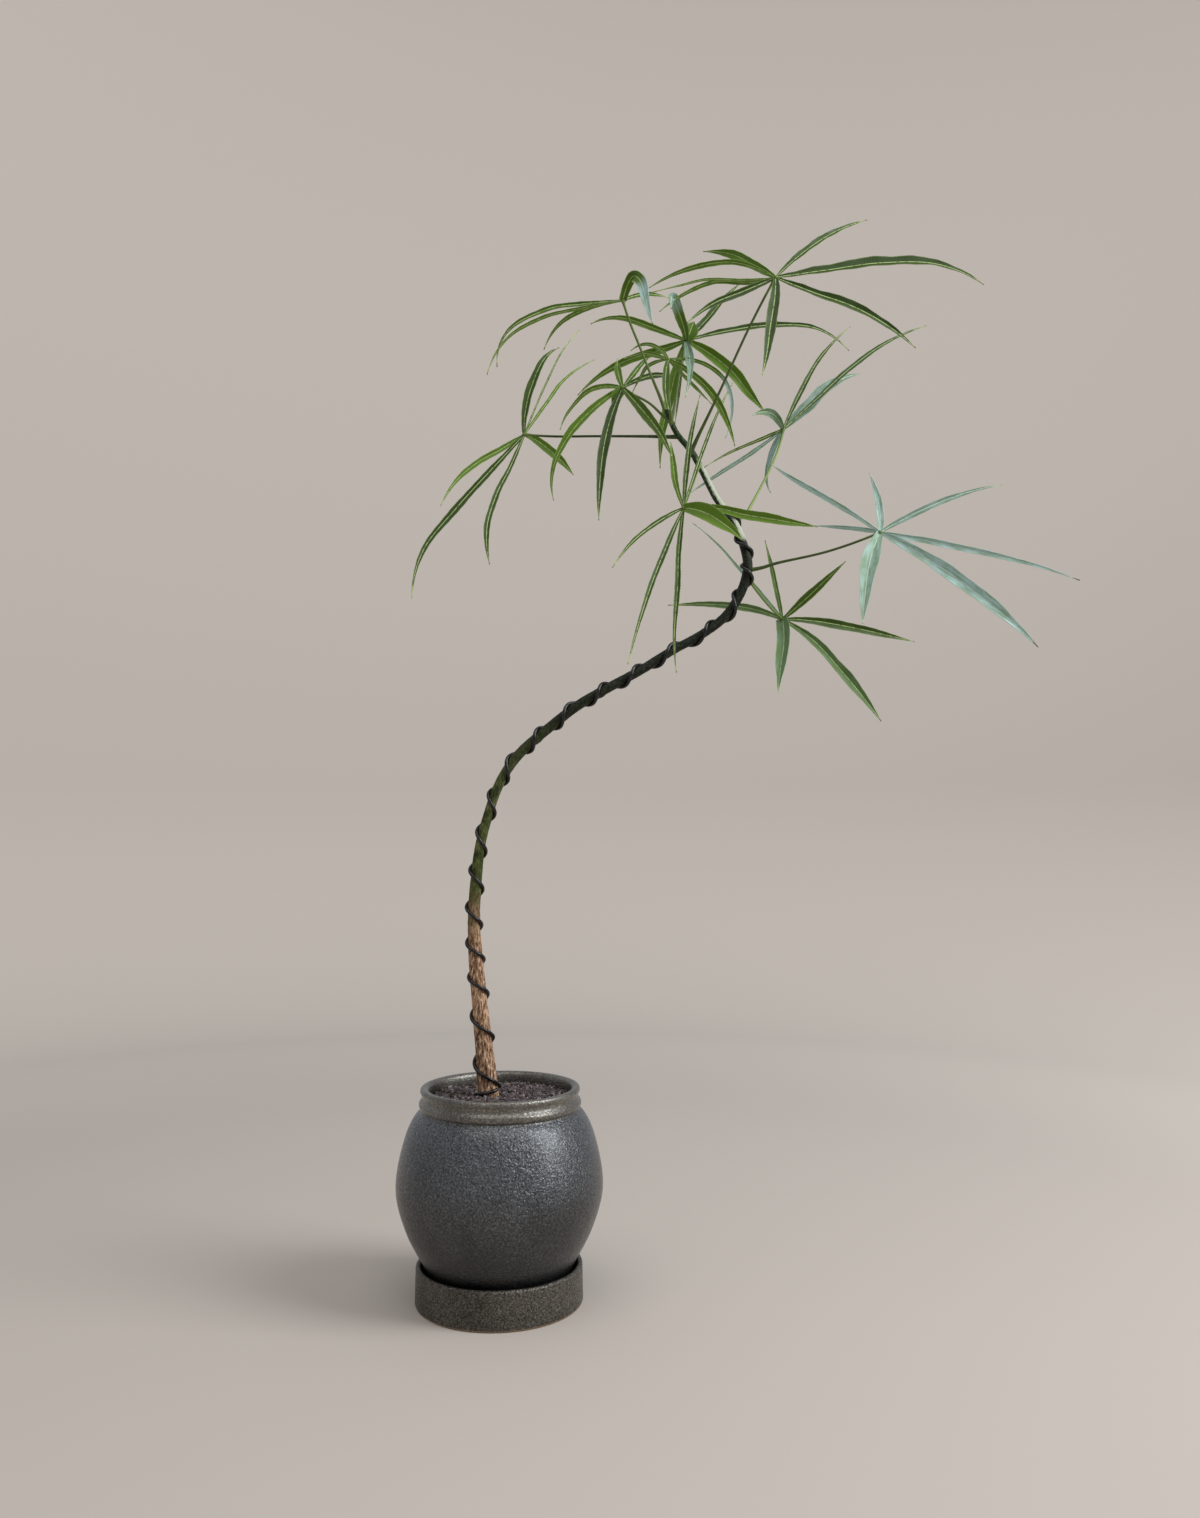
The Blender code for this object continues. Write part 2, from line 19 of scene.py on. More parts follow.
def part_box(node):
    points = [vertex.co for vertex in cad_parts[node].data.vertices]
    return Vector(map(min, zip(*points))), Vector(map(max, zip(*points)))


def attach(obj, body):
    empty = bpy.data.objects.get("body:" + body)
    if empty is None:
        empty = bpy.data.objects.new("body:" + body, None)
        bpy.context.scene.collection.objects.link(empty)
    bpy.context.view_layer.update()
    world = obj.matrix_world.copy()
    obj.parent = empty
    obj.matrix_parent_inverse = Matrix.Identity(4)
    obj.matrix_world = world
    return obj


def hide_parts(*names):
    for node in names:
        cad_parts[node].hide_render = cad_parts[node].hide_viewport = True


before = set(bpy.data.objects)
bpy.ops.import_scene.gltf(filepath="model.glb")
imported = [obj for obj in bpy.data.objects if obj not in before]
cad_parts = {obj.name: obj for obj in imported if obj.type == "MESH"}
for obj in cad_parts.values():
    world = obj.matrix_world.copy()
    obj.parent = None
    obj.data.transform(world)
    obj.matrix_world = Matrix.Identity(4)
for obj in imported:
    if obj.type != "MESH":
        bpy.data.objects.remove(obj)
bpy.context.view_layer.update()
MM = 0.001
print("packed pieces:", ", ".join(sorted(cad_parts)))

# %% [markdown]
# ## Camera
# The camera is placed first, because every later choice is judged through it. It stands a little
# to the right of the pot and lower than the middle of the plant, and looks slightly upwards. A
# short lens at this distance shows the near leaves larger than the far ones.

# %% Place the camera
CAMERA_PLACE = Vector((66.2, -697.0, 262.0))
CAMERA_UP_TILT = 3.85
CAMERA_LEFT_TURN = 0.72
CAMERA_LENS = 28.2

camera_data = bpy.data.cameras.new("camera")
camera_data.lens = CAMERA_LENS
camera_data.sensor_width = 36.0
camera_data.clip_start = 0.01
camera = bpy.data.objects.new("camera", camera_data)
camera.location = CAMERA_PLACE * MM
camera.rotation_euler = (math.radians(90 + CAMERA_UP_TILT), 0, math.radians(CAMERA_LEFT_TURN))
bpy.context.scene.collection.objects.link(camera)
bpy.context.scene.camera = camera
print("camera at", tuple(round(part, 3) for part in camera.location), "m")

# %% [markdown]
# ## Small tools for shader nodes
# A finish is a small network of nodes. A few helpers keep each one short. They add a node, and fill
# its inputs with numbers, with colours or with other nodes' outputs. One more opens a node group,
# which is a network that several materials share, each with its own values.

# %% Define the node helpers
def fill(tree, node, inputs):
    """Fills a node's inputs. A value may be a number, a colour or another node's output."""
    for name, value in inputs.items():
        if isinstance(value, bpy.types.NodeSocket):
            tree.links.new(value, node.inputs[name])
        else:
            node.inputs[name].default_value = value
    return node


def add_node(tree, kind, inputs=None, **settings):
    """Adds a shader node with its settings and its inputs."""
    node = tree.nodes.new(kind)
    for name, value in settings.items():
        setattr(node, name, value)
    return fill(tree, node, inputs or {})


def mix_colours(tree, factor, first, second, mode="MIX"):
    """The colour that is a share of the way from the first colour to the second."""
    inputs = {0: factor, 6: first, 7: second}  # the Mix node's sockets for colours
    return add_node(tree, "ShaderNodeMix", inputs, data_type="RGBA", blend_type=mode).outputs[2]


def calculate(tree, operation, first, second=0.0, third=0.0, clamp=False):
    """One step of arithmetic on numbers that change over the surface."""
    inputs = {0: first, 1: second, 2: third}
    return add_node(
        tree, "ShaderNodeMath", inputs, operation=operation, use_clamp=clamp
    ).outputs[0]


def calculate_vectors(tree, operation, first, second=(0, 0, 0)):
    """One step of arithmetic on vectors. It gives a number where the step makes one."""
    node = add_node(tree, "ShaderNodeVectorMath", {0: first, 1: second}, operation=operation)
    return node.outputs["Value" if operation in ("LENGTH", "DOT_PRODUCT") else "Vector"]


def remap(tree, value, low, high, to_low=0.0, to_high=1.0):
    """A number moved smoothly from one range to another, and held at its ends."""
    node = add_node(
        tree,
        "ShaderNodeMapRange",
        {"Value": value, "From Min": low, "From Max": high, "To Min": to_low, "To Max": to_high},
        interpolation_type="SMOOTHSTEP",
    )
    return node.outputs["Result"]


def noise_pattern(tree, place, scale, detail=2.0, roughness=0.5):
    inputs = {"Vector": place, "Scale": scale, "Detail": detail, "Roughness": roughness}
    return add_node(tree, "ShaderNodeTexNoise", inputs).outputs["Fac"]


def object_place(tree):
    return add_node(tree, "ShaderNodeTexCoord").outputs["Object"]


def height_above_base(tree, place):
    return add_node(tree, "ShaderNodeSeparateXYZ", {"Vector": place}).outputs["Z"]


def new_material(name):
    """A material with its node tree and its Principled shader."""
    material = bpy.data.materials.new(name)
    material.use_nodes = True
    return material, material.node_tree, material.node_tree.nodes["Principled BSDF"]


def roughen(tree, shader, height, distance):
    """Gives a surface a fine relief. A height of one stands out by the distance, in metres."""
    inputs = {"Height": height, "Distance": distance, "Strength": 1.0}
    bump = add_node(tree, "ShaderNodeBump", inputs)
    tree.links.new(bump.outputs["Normal"], shader.inputs["Normal"])


def new_group(name, colours, numbers=()):
    """A node group with these inputs, and with a colour, a roughness and a height to give."""
    tree = bpy.data.node_groups.new(name, "ShaderNodeTree")
    face = tree.interface
    for socket in colours:
        face.new_socket(socket, in_out="INPUT", socket_type="NodeSocketColor")
    for socket in numbers:
        face.new_socket(socket, in_out="INPUT", socket_type="NodeSocketFloat")
    face.new_socket("Color", in_out="OUTPUT", socket_type="NodeSocketColor")
    face.new_socket("Roughness", in_out="OUTPUT", socket_type="NodeSocketFloat")
    face.new_socket("Height", in_out="OUTPUT", socket_type="NodeSocketFloat")
    return tree, tree.nodes.new("NodeGroupInput").outputs, tree.nodes.new("NodeGroupOutput")


def place_group(tree, group, inputs):
    """Places a node group in a material with the material's own values."""
    return add_node(tree, "ShaderNodeGroup", inputs, node_tree=group).outputs


print("node helpers are ready")

# %% [markdown]
# ## Stage
# The plant stands on a plain pale floor that curves up into a wall all round it, so it can be
# looked at from every side and no edge shows. A flat backdrop would be simpler, but it has only
# one good side. The wall is a profile turned about the upright axis. It is for the eye only: light
# passes through it, so the window's light can stand outside.

# %% Build the floor and the wall
FLOOR_COLOUR = (0.53, 0.475, 0.42, 1)
WALL_COLOUR = (0.61, 0.55, 0.485, 1)
WALL_BEGINS = (0.5, 0.9)  # radii in metres between which the floor's colour turns into the wall's
FLOOR_RADIUS = 0.95
COVE_RADIUS = 0.35
WALL_HEIGHT = 3.2
STAGE_STEPS = 96
COVE_STEPS = 24


def turn_profile(outline, steps, closed=False):
    """Turns an outline of (radius, height) points about Z. A closed outline makes a ring."""
    bm = bmesh.new()
    verts = [bm.verts.new((radius, 0, height)) for radius, height in outline]
    pairs = list(zip(verts, verts[1:]))
    if closed:
        pairs.append((verts[-1], verts[0]))
    edges = [bm.edges.new(pair) for pair in pairs]
    bmesh.ops.spin(
        bm, geom=[*verts, *edges], axis=(0, 0, 1), cent=(0, 0, 0), angle=math.tau, steps=steps,
        use_merge=True,
    )
    bmesh.ops.remove_doubles(bm, verts=bm.verts, dist=0.0005)
    bmesh.ops.recalc_face_normals(bm, faces=bm.faces)
    return bm


def add_object(name, bm, material):
    """Makes a smoothly shaded object of a bmesh, and puts it in the scene."""
    mesh = bpy.data.meshes.new(name)
    bm.to_mesh(mesh)
    bm.free()
    mesh.shade_smooth()
    mesh.materials.append(material)
    piece = bpy.data.objects.new(name, mesh)
    bpy.context.scene.collection.objects.link(piece)
    return piece


def finish_stage(name, bm, material):
    piece = add_object(name, bm, material)
    return piece


def make_stage():
    material, tree, shader = new_material("stage_paper")
    flat = calculate_vectors(tree, "MULTIPLY", object_place(tree), (1, 1, 0))
    wall_share = remap(tree, calculate_vectors(tree, "LENGTH", flat), *WALL_BEGINS)
    colour = mix_colours(tree, wall_share, FLOOR_COLOUR, WALL_COLOUR)
    fill(tree, shader, {"Base Color": colour, "Roughness": 0.9})
    bm = bmesh.new()
    bmesh.ops.create_circle(bm, cap_ends=True, radius=FLOOR_RADIUS, segments=STAGE_STEPS)
    floor = finish_stage("stage_floor", bm, material)
    turns = [math.pi / 2 * step / COVE_STEPS for step in range(COVE_STEPS + 1)]
    rows = [
        (FLOOR_RADIUS + COVE_RADIUS * math.sin(turn), COVE_RADIUS * (1 - math.cos(turn)))
        for turn in turns
    ]
    rows.append((FLOOR_RADIUS + COVE_RADIUS, WALL_HEIGHT))
    wall = finish_stage("stage_wall", turn_profile(rows, STAGE_STEPS), material)
    wall.visible_diffuse = wall.visible_glossy = wall.visible_shadow = False
    return floor, wall


stage = make_stage()
print("stage faces:", [len(piece.data.polygons) for piece in stage])

# %% [markdown]
# ## Light
# Daylight falls on the plant from a window on the right. A sun lamp would give hard shadows, so a
# large area light stands in for the window. A weaker one overhead and a little light from the
# whole room fill the shadows.

# %% Place the lights
WORLD_COLOUR = (0.93, 0.95, 1.0, 1)
WORLD_STRENGTH = 0.42


def add_area_light(name, place, aim, size, power, colour):
    data = bpy.data.lights.new(name, "AREA")
    data.shape = "RECTANGLE"
    data.size, data.size_y = size
    data.energy = power
    data.color = colour
    light = bpy.data.objects.new(name, data)
    light.location = place
    light.rotation_euler = (Vector(aim) - Vector(place)).to_track_quat("-Z", "Y").to_euler()
    light.visible_camera = False
    bpy.context.scene.collection.objects.link(light)


add_area_light("window", (1.45, -0.45, 1.15), (0.05, 0, 0.25), (0.8, 1.3), 26, (0.93, 0.96, 1.0))
add_area_light("overhead", (-0.2, -0.9, 2.3), (0.05, 0, 0.3), (2.0, 1.6), 16, (1.0, 0.97, 0.93))
world = bpy.data.worlds.new("pale_room")
world.use_nodes = True
world.node_tree.nodes["Background"].inputs["Color"].default_value = WORLD_COLOUR
world.node_tree.nodes["Background"].inputs["Strength"].default_value = WORLD_STRENGTH
bpy.context.scene.world = world
bpy.context.scene.view_settings.view_transform = "Standard"

# %% [markdown]
# ## Small tools for meshes
# The stage's wall was a profile turned about an axis, and so are the pot and the saucer. Nearly all
# the rest is made of two more shapes: a curve that passes smoothly through a few chosen points,
# and a flat grid that is rolled round such a curve into a tube, or bent along it into a blade. A
# grid knows the column and the row of each point, so every point can be put straight in its place.

# %% Define the mesh helpers
def smooth_path(points, steps):
    """Points on a smooth curve through the given ones, with so many steps for each pair."""
    rows = [Vector(point) for point in points]
    before = 3 * rows[0] - 3 * rows[1] + rows[2]
    after = 3 * rows[-1] - 3 * rows[-2] + rows[-3]
    rows = [before, *rows, after]
    path = []
    for a, b, c, d in zip(rows, rows[1:], rows[2:], rows[3:]):
        for step in range(steps):
            t = step / steps
            path.append(
                0.5 * (2 * b + (c - a) * t + (2 * a - 5 * b + 4 * c - d) * t**2
                       + (3 * b - a - 3 * c + d) * t**3)
            )
    return [*path, rows[-2].copy()]


def distances(path):
    """How far along the path each of its points lies."""
    total = [0.0]
    for a, b in zip(path, path[1:]):
        total.append(total[-1] + (b.to_3d() - a.to_3d()).length)
    return total


def evenly(path, count):
    """The path again, as so many points at even distances."""
    reach = distances(path)
    points, index = [], 0
    for number in range(count):
        want = reach[-1] * number / (count - 1)
        while index < len(path) - 2 and reach[index + 1] < want:
            index += 1
        share = (want - reach[index]) / max(reach[index + 1] - reach[index], 1e-9)
        points.append(path[index].lerp(path[index + 1], min(share, 1.0)))
    return points


def headings(path):
    """The direction of the path at each of its points."""
    ends = [path[0], *path, path[-1]]
    return [(after.to_3d() - before.to_3d()).normalized() for before, after in zip(ends, ends[2:])]


def ring_frames(path):
    """Two directions square to the path at each of its points, turned as little as possible."""
    across = Vector((0, 1, 0))
    frames = []
    for heading in headings(path):
        across = (across - across.dot(heading) * heading).normalized()
        frames.append((across, heading.cross(across)))
    return frames


def new_bmesh():
    """An empty bmesh with a UV map for create_grid to fill."""
    bm = bmesh.new()
    bm.loops.layers.uv.new("UVMap")
    return bm


def grid_sheet(bm, long_steps, wide_steps):
    """Adds a flat grid, and gives each vertex with its column and its row."""
    verts = bmesh.ops.create_grid(
        bm, x_segments=long_steps, y_segments=wide_steps, size=0.5, calc_uvs=True
    )["verts"]
    return [
        (vert, round((vert.co.x + 0.5) * long_steps), round((vert.co.y + 0.5) * wide_steps))
        for vert in verts
    ]


def add_tube(bm, path, radii, sides, swell=None):
    """Rolls a grid round a path into a closed tube. swell gives how far a place stands out, from
    its angle, its distance along the path and its radius."""
    places = [point.to_3d() for point in path]
    frames = ring_frames(places)
    reach = distances(places)
    verts = []
    for vert, column, row in grid_sheet(bm, len(path) - 1, sides):
        angle = math.tau * (row % sides) / sides
        across, other = frames[column]
        outward = math.cos(angle) * across + math.sin(angle) * other
        radius = radii[column]
        if swell:
            radius += swell(angle, reach[column], radius)
        vert.co = places[column] + radius * outward
        verts.append(vert)
    seam = bmesh.ops.find_doubles(bm, verts=verts, dist=1e-5)["targetmap"]
    bmesh.ops.weld_verts(bm, targetmap=seam)
    rims = [e for v in verts if v.is_valid for e in v.link_edges if e.is_boundary]
    bmesh.ops.holes_fill(bm, edges=list(dict.fromkeys(rims)), sides=0)


def finish_piece(name, bm, material, replaced=None):
    """Makes the object in metres, attaches it to the root body, and hides the CAD node it stands for."""
    bmesh.ops.scale(bm, vec=(MM, MM, MM), verts=bm.verts)
    piece = add_object(name, bm, material)
    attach(piece, "root")
    if replaced:
        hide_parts(replaced)
    triangles = sum(len(face.vertices) - 2 for face in piece.data.polygons)
    print(f"{name}: {triangles} triangles")
    return piece


print("mesh helpers are ready")

# %% [markdown]
# ## Stoneware glaze
# Pot and saucer are stoneware under a metallic glaze that crawled a little in the kiln. Close up
# it is a skin of fine pits and specks about a millimetre across: the specks shine and the pits
# are dull and dark. A picture of such a skin would blur or repeat, so noise draws it. One node
# group makes the skin for both pieces, and each material sets its own colours.

# %% Build the glaze group
def make_glaze_group():
    tree, given, result = new_group("kiln_skin", ("Pit", "Skin", "Fleck"), ("Grain Scale",))
    place = object_place(tree)
    scale = given["Grain Scale"]
    fine = noise_pattern(tree, place, scale, 2.0, 0.5)
    coarse = noise_pattern(tree, place, calculate(tree, "MULTIPLY", scale, 0.45), 2.0)
    patches = noise_pattern(tree, place, 26.0, 3.0)
    pits = remap(tree, fine, 0.36, 0.50)
    flecks = remap(tree, fine, 0.55, 0.66)
    colour = mix_colours(tree, pits, given["Pit"], given["Skin"])
    colour = mix_colours(tree, flecks, colour, given["Fleck"])
    shade = remap(tree, patches, 0.3, 0.7, 0.74, 1.2)
    tint = add_node(tree, "ShaderNodeCombineColor", {"Red": shade, "Green": shade, "Blue": shade})
    colour = mix_colours(tree, 1.0, colour, tint.outputs["Color"], "MULTIPLY")
    rough = remap(tree, fine, 0.35, 0.65, 0.48, 0.30)
    height = calculate(tree, "ADD", fine, calculate(tree, "MULTIPLY", coarse, 1.3))
    fill(tree, result, {"Color": colour, "Roughness": rough, "Height": height})
    return tree


glaze_group = make_glaze_group()
print("glaze group nodes:", len(glaze_group.nodes))

# %% [markdown]
# ## The two glazes
# The pot is blue-grey and turns bronze at the neck. Lower down it is painted darker towards the
# foot: painted shade for the dark reflection of a dark table below it. The saucer is bronze all
# over, and a thin line of bare clay shows at its foot. Each change lies at one height, so the
# materials read the height above the base and blend their colours by it.

# %% Mix the pot's and the saucer's glaze
POT_NECK_FOOT = 107.5  # height where the neck stands on the shoulder
PAINTED_SHADE_BELOW = (0.015, 0.108)  # heights in metres between which the painted shade fades
FOOT_LINE = (0.0008, 0.0014)  # heights in metres where the saucer's glaze begins
BARE_CLAY = (0.33, 0.23, 0.14, 1)


def make_pot_glaze():
    material, tree, shader = new_material("pot_glaze")
    height = height_above_base(tree, object_place(tree))
    drift = noise_pattern(tree, object_place(tree), 60.0, 3.0)
    level = calculate(tree, "ADD", height, calculate(tree, "MULTIPLY", drift, 0.004))
    neck_foot = POT_NECK_FOOT * MM + 0.001
    neck = remap(tree, level, neck_foot, neck_foot + 0.003)
    # Painted shade: the body is painted darker towards the foot, for the dark reflection of a dark table
    # below.
    painted_foot_shade = remap(tree, level, *PAINTED_SHADE_BELOW, 1.0, 0.0)
    painted_foot_shade = calculate(tree, "MULTIPLY", painted_foot_shade, 0.9)
    skin = mix_colours(tree, neck, (0.102, 0.107, 0.112, 1), (0.155, 0.143, 0.122, 1))
    skin = mix_colours(tree, painted_foot_shade, skin, (0.018, 0.018, 0.019, 1))
    fleck = mix_colours(tree, neck, (0.185, 0.197, 0.212, 1), (0.265, 0.247, 0.213, 1))
    fleck = mix_colours(tree, painted_foot_shade, fleck, (0.036, 0.036, 0.037, 1))
    pit = mix_colours(tree, neck, (0.042, 0.043, 0.045, 1), (0.098, 0.090, 0.076, 1))
    pit = mix_colours(tree, painted_foot_shade, pit, (0.012, 0.012, 0.013, 1))
    group = place_group(
        tree, glaze_group, {"Pit": pit, "Skin": skin, "Fleck": fleck, "Grain Scale": 1000.0}
    )
    fill(tree, shader, {"Base Color": group["Color"], "Roughness": group["Roughness"]})
    fill(tree, shader, {"Metallic": 0.75, "Coat Weight": 0.5, "Coat Roughness": 0.28})
    # The neck was smoothed on the wheel, so the relief is weaker there.
    smoothed = calculate(tree, "MULTIPLY_ADD", neck, -0.55, 1.0)
    relief = calculate(tree, "MULTIPLY", group["Height"], smoothed)
    roughen(tree, shader, relief, 0.00058)
    return material


def make_saucer_glaze():
    material, tree, shader = new_material("saucer_glaze")
    group = place_group(
        tree,
        glaze_group,
        {
            "Pit": (0.030, 0.026, 0.021, 1),
            "Skin": (0.082, 0.073, 0.059, 1),
            "Fleck": (0.165, 0.15, 0.125, 1),
            "Grain Scale": 1050.0,
        },
    )
    # The glaze stops short of the foot, and leaves a thin line of bare tan clay.
    height = height_above_base(tree, object_place(tree))
    bare = remap(tree, height, *FOOT_LINE, 1.0, 0.0)
    colour = mix_colours(tree, bare, group["Color"], BARE_CLAY)
    rough = calculate(tree, "MULTIPLY_ADD", bare, 0.35, group["Roughness"])
    fill(tree, shader, {"Base Color": colour, "Roughness": rough, "Metallic": 0.5})
    roughen(tree, shader, group["Height"], 0.00045)
    return material


pot_glaze = make_pot_glaze()
saucer_glaze = make_saucer_glaze()
print("glazes:", pot_glaze.name, saucer_glaze.name)

# %% [markdown]
# ## Saucer
# The saucer was thrown on a wheel: a low straight wall with a softly rounded lip. The packed
# model's facets are too coarse for a close look, so its profile is turned again in many fine
# steps, on the same sizes. Arcs round its edges.

# %% Turn the saucer
TURN_STEPS = 144
saucer_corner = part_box("saucer")[1]
SAUCER_RADIUS = saucer_corner.x / MM
SAUCER_HEIGHT = saucer_corner.z / MM
SAUCER_FLOOR = 4.0


def arc(centre_r, centre_z, radius, start, end, steps):
    """(radius, height) points on an arc, with the angles in degrees from straight outwards."""
    angles = [math.radians(start + (end - start) * step / steps) for step in range(steps + 1)]
    return [(centre_r + radius * math.cos(a), centre_z + radius * math.sin(a)) for a in angles]


def make_saucer():
    wall, rise = SAUCER_RADIUS, SAUCER_HEIGHT - 4.5
    outline = [
        (0, 0),
        *arc(wall - 1.5, 1.5, 1.5, -90, 0, 5),
        *[(wall - 0.05 - 0.3 * step / 8, 1.5 + rise * step / 8) for step in range(1, 9)],
        *arc(wall - 1.9, SAUCER_HEIGHT - 1.55, 1.55, 0, 180, 10),
        (wall - 3.7, 10),
        *arc(wall - 6.6, SAUCER_FLOOR + 2.7, 2.7, 0, -90, 6),
        (0, SAUCER_FLOOR),
    ]
    bm = turn_profile(outline, TURN_STEPS)
    finish_piece("saucer_dish", bm, saucer_glaze, "saucer")


make_saucer()

# %% [markdown]
# ## Pot
# The pot swells to a round belly and closes to a short neck, with a rounded collar, a groove and a
# thin lip. It was thrown too, so it is turned in the same way. Smooth curves through a few points
# give the belly, the neck and the inside. The outline is closed to a ring, because the drain hole
# goes right through the floor.

# %% Turn the pot
POT_BASE = 4.3
POT_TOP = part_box("pot")[1].z / MM
POT_FOOT_RADIUS = 36.5
POT_BELLY_RADIUS = 59.2
POT_BELLY_HEIGHT = 65.0
POT_NECK_RADIUS = 45.6
POT_MOUTH_RADIUS = 41.0
POT_FLOOR = 12.0
DRAIN_RADIUS = 7.0


def smooth_outline(points, steps):
    return [(point.x, point.y) for point in smooth_path([(r, h, 0) for r, h in points], steps)]


def make_pot():
    belly = (
        (POT_FOOT_RADIUS + 0.8, 8),
        (43.0, 21.5),
        (53.6, 42),
        (POT_BELLY_RADIUS, POT_BELLY_HEIGHT),
        (54.2, 92.5),
        (POT_NECK_RADIUS + 0.3, 107.0),
    )
    mouth = POT_MOUTH_RADIUS - 0.4
    inside = ((30, POT_FLOOR), (39, 21), (49, 42), (54.4, 65), (49.8, 91), (mouth, 106))
    collar = (
        (POT_NECK_RADIUS - 0.5, 107.9),
        (POT_NECK_RADIUS + 0.5, 108.9),
        (POT_NECK_RADIUS + 1.0, 110.5),
        (POT_NECK_RADIUS + 0.7, 112.0),
        (POT_NECK_RADIUS - 0.5, 113.5),
        (POT_NECK_RADIUS - 0.8, 115.0),
        (POT_NECK_RADIUS - 0.3, 116.6),
        (POT_NECK_RADIUS + 0.3, 118.0),
        (POT_NECK_RADIUS - 0.1, 119.4),
        (POT_NECK_RADIUS - 1.2, POT_TOP),
        (POT_NECK_RADIUS - 2.8, POT_TOP - 0.15),
        (POT_MOUTH_RADIUS + 0.3, 118.9),
        (POT_MOUTH_RADIUS - 0.2, 116.0),
    )
    outline = [
        (POT_FOOT_RADIUS - 4, POT_BASE),
        (POT_FOOT_RADIUS - 0.8, POT_BASE),
        (POT_FOOT_RADIUS, POT_BASE + 0.8),
        *smooth_outline(belly, 9),
        *smooth_outline(collar, 3),
        *reversed(smooth_outline(inside, 5)),
        (DRAIN_RADIUS + 0.6, POT_FLOOR),
        (DRAIN_RADIUS, POT_FLOOR - 0.6),
        (DRAIN_RADIUS, POT_BASE + 3.2),
        (DRAIN_RADIUS + 0.5, POT_BASE + 2.7),
        (POT_FOOT_RADIUS - 5.5, POT_BASE + 2.7),
        (POT_FOOT_RADIUS - 4.4, POT_BASE + 0.4),
    ]
    bm = turn_profile(outline, TURN_STEPS, closed=True)
    finish_piece("pot_shell", bm, pot_glaze, "pot")


make_pot()

# %% [markdown]
# ## Gravel colours
# The mix is topped with fine crushed stone, and each grain has a colour of its own. A material for
# every colour would be clumsy. Instead each grain carries a number, and a colour ramp turns it
# into the grain's colour. A little brown dust lies over some of them.

# %% Make the gravel's material
GRAIN_COLOURS = (
    (0.0, (0.018, 0.014, 0.014, 1)),
    (0.3, (0.06, 0.045, 0.047, 1)),
    (0.55, (0.115, 0.09, 0.097, 1)),
    (0.75, (0.17, 0.125, 0.10, 1)),
    (0.9, (0.24, 0.21, 0.215, 1)),
    (1.0, (0.42, 0.38, 0.37, 1)),
)
DUST_COLOUR = (0.12, 0.09, 0.065, 1)


def colour_ramp(tree, value, stops):
    ramp = add_node(tree, "ShaderNodeValToRGB", {"Fac": value})
    elements = ramp.color_ramp.elements
    while len(elements) < len(stops):
        elements.new(0.5)
    for element, (place, colour) in zip(elements, stops):
        element.position = place
        element.color = colour
    return ramp.outputs["Color"]


def make_gravel_material():
    material, tree, shader = new_material("gravel")
    number = add_node(tree, "ShaderNodeAttribute", attribute_name="grain").outputs["Fac"]
    place = object_place(tree)
    mottle = noise_pattern(tree, place, 1500.0, 2.0)
    dust = noise_pattern(tree, place, 90.0, 2.0)
    level = calculate(tree, "ADD", number, remap(tree, mottle, 0.3, 0.7, -0.12, 0.12), clamp=True)
    colour = colour_ramp(tree, level, GRAIN_COLOURS)
    colour = mix_colours(tree, remap(tree, dust, 0.45, 0.7, 0.0, 0.22), colour, DUST_COLOUR)
    fill(tree, shader, {"Base Color": colour, "Roughness": 0.85})
    roughen(tree, shader, mottle, 0.0004)
    return material


gravel_material = make_gravel_material()
print("gravel colours:", len(GRAIN_COLOURS))

# %% [markdown]
# ## Gravel
# The eye sees separate stones with flat faces here, so a flat disc with a speckled colour would
# not do. A plain low mound is laid first. A few thousand small stones lie on it, each turned,
# stretched and chipped at random. A stone has only twenty faces, because there are so many.

# %% Lay the gravel
GRAVEL_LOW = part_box("top_gravel")[0].z / MM
GRAVEL_RADIUS = 40.2
GRAVEL_EDGE = 113.2
GRAVEL_MIDDLE = 114.2
BED_DEPTH = 0.9  # how far the plain bed lies below the grains' level
BED_RINGS = 10
BED_STEPS = 72
GRAIN_COUNT = 4600
GRAIN_SIZES = (0.42, 1.4)  # half a grain's breadth
GRAIN_CHIP = 0.28  # how far a corner is knocked off its place, as a share of that
GRAINS_PER_TRAY = 60
TRUNK_FOOT = Vector((-7.0, 0.0))
TRUNK_FOOT_RADIUS = 6.3


def gravel_level(radius):
    return GRAVEL_EDGE + (GRAVEL_MIDDLE - GRAVEL_EDGE) * (1 - (radius / GRAVEL_RADIUS) ** 2)


def add_grain(bm, place, size, rng, layer):
    axis = Vector((rng.gauss(0, 1), rng.gauss(0, 1), rng.gauss(0, 1) + 0.01))
    turn = Matrix.Rotation(rng.uniform(0, math.tau), 4, axis)
    scales = (rng.uniform(0.75, 1.3), rng.uniform(0.7, 1.1), rng.uniform(0.6, 0.95), 1)
    matrix = Matrix.Translation(place) @ turn @ Matrix.Diagonal(scales)
    made = bmesh.ops.create_icosphere(bm, subdivisions=1, radius=size, matrix=matrix)["verts"]
    number = min(max(rng.gauss(0.44, 0.25), 0.0), 1.0)
    for vert in made:
        vert.co += Vector([rng.uniform(-GRAIN_CHIP, GRAIN_CHIP) * size for _ in range(3)])
        vert[layer] = number


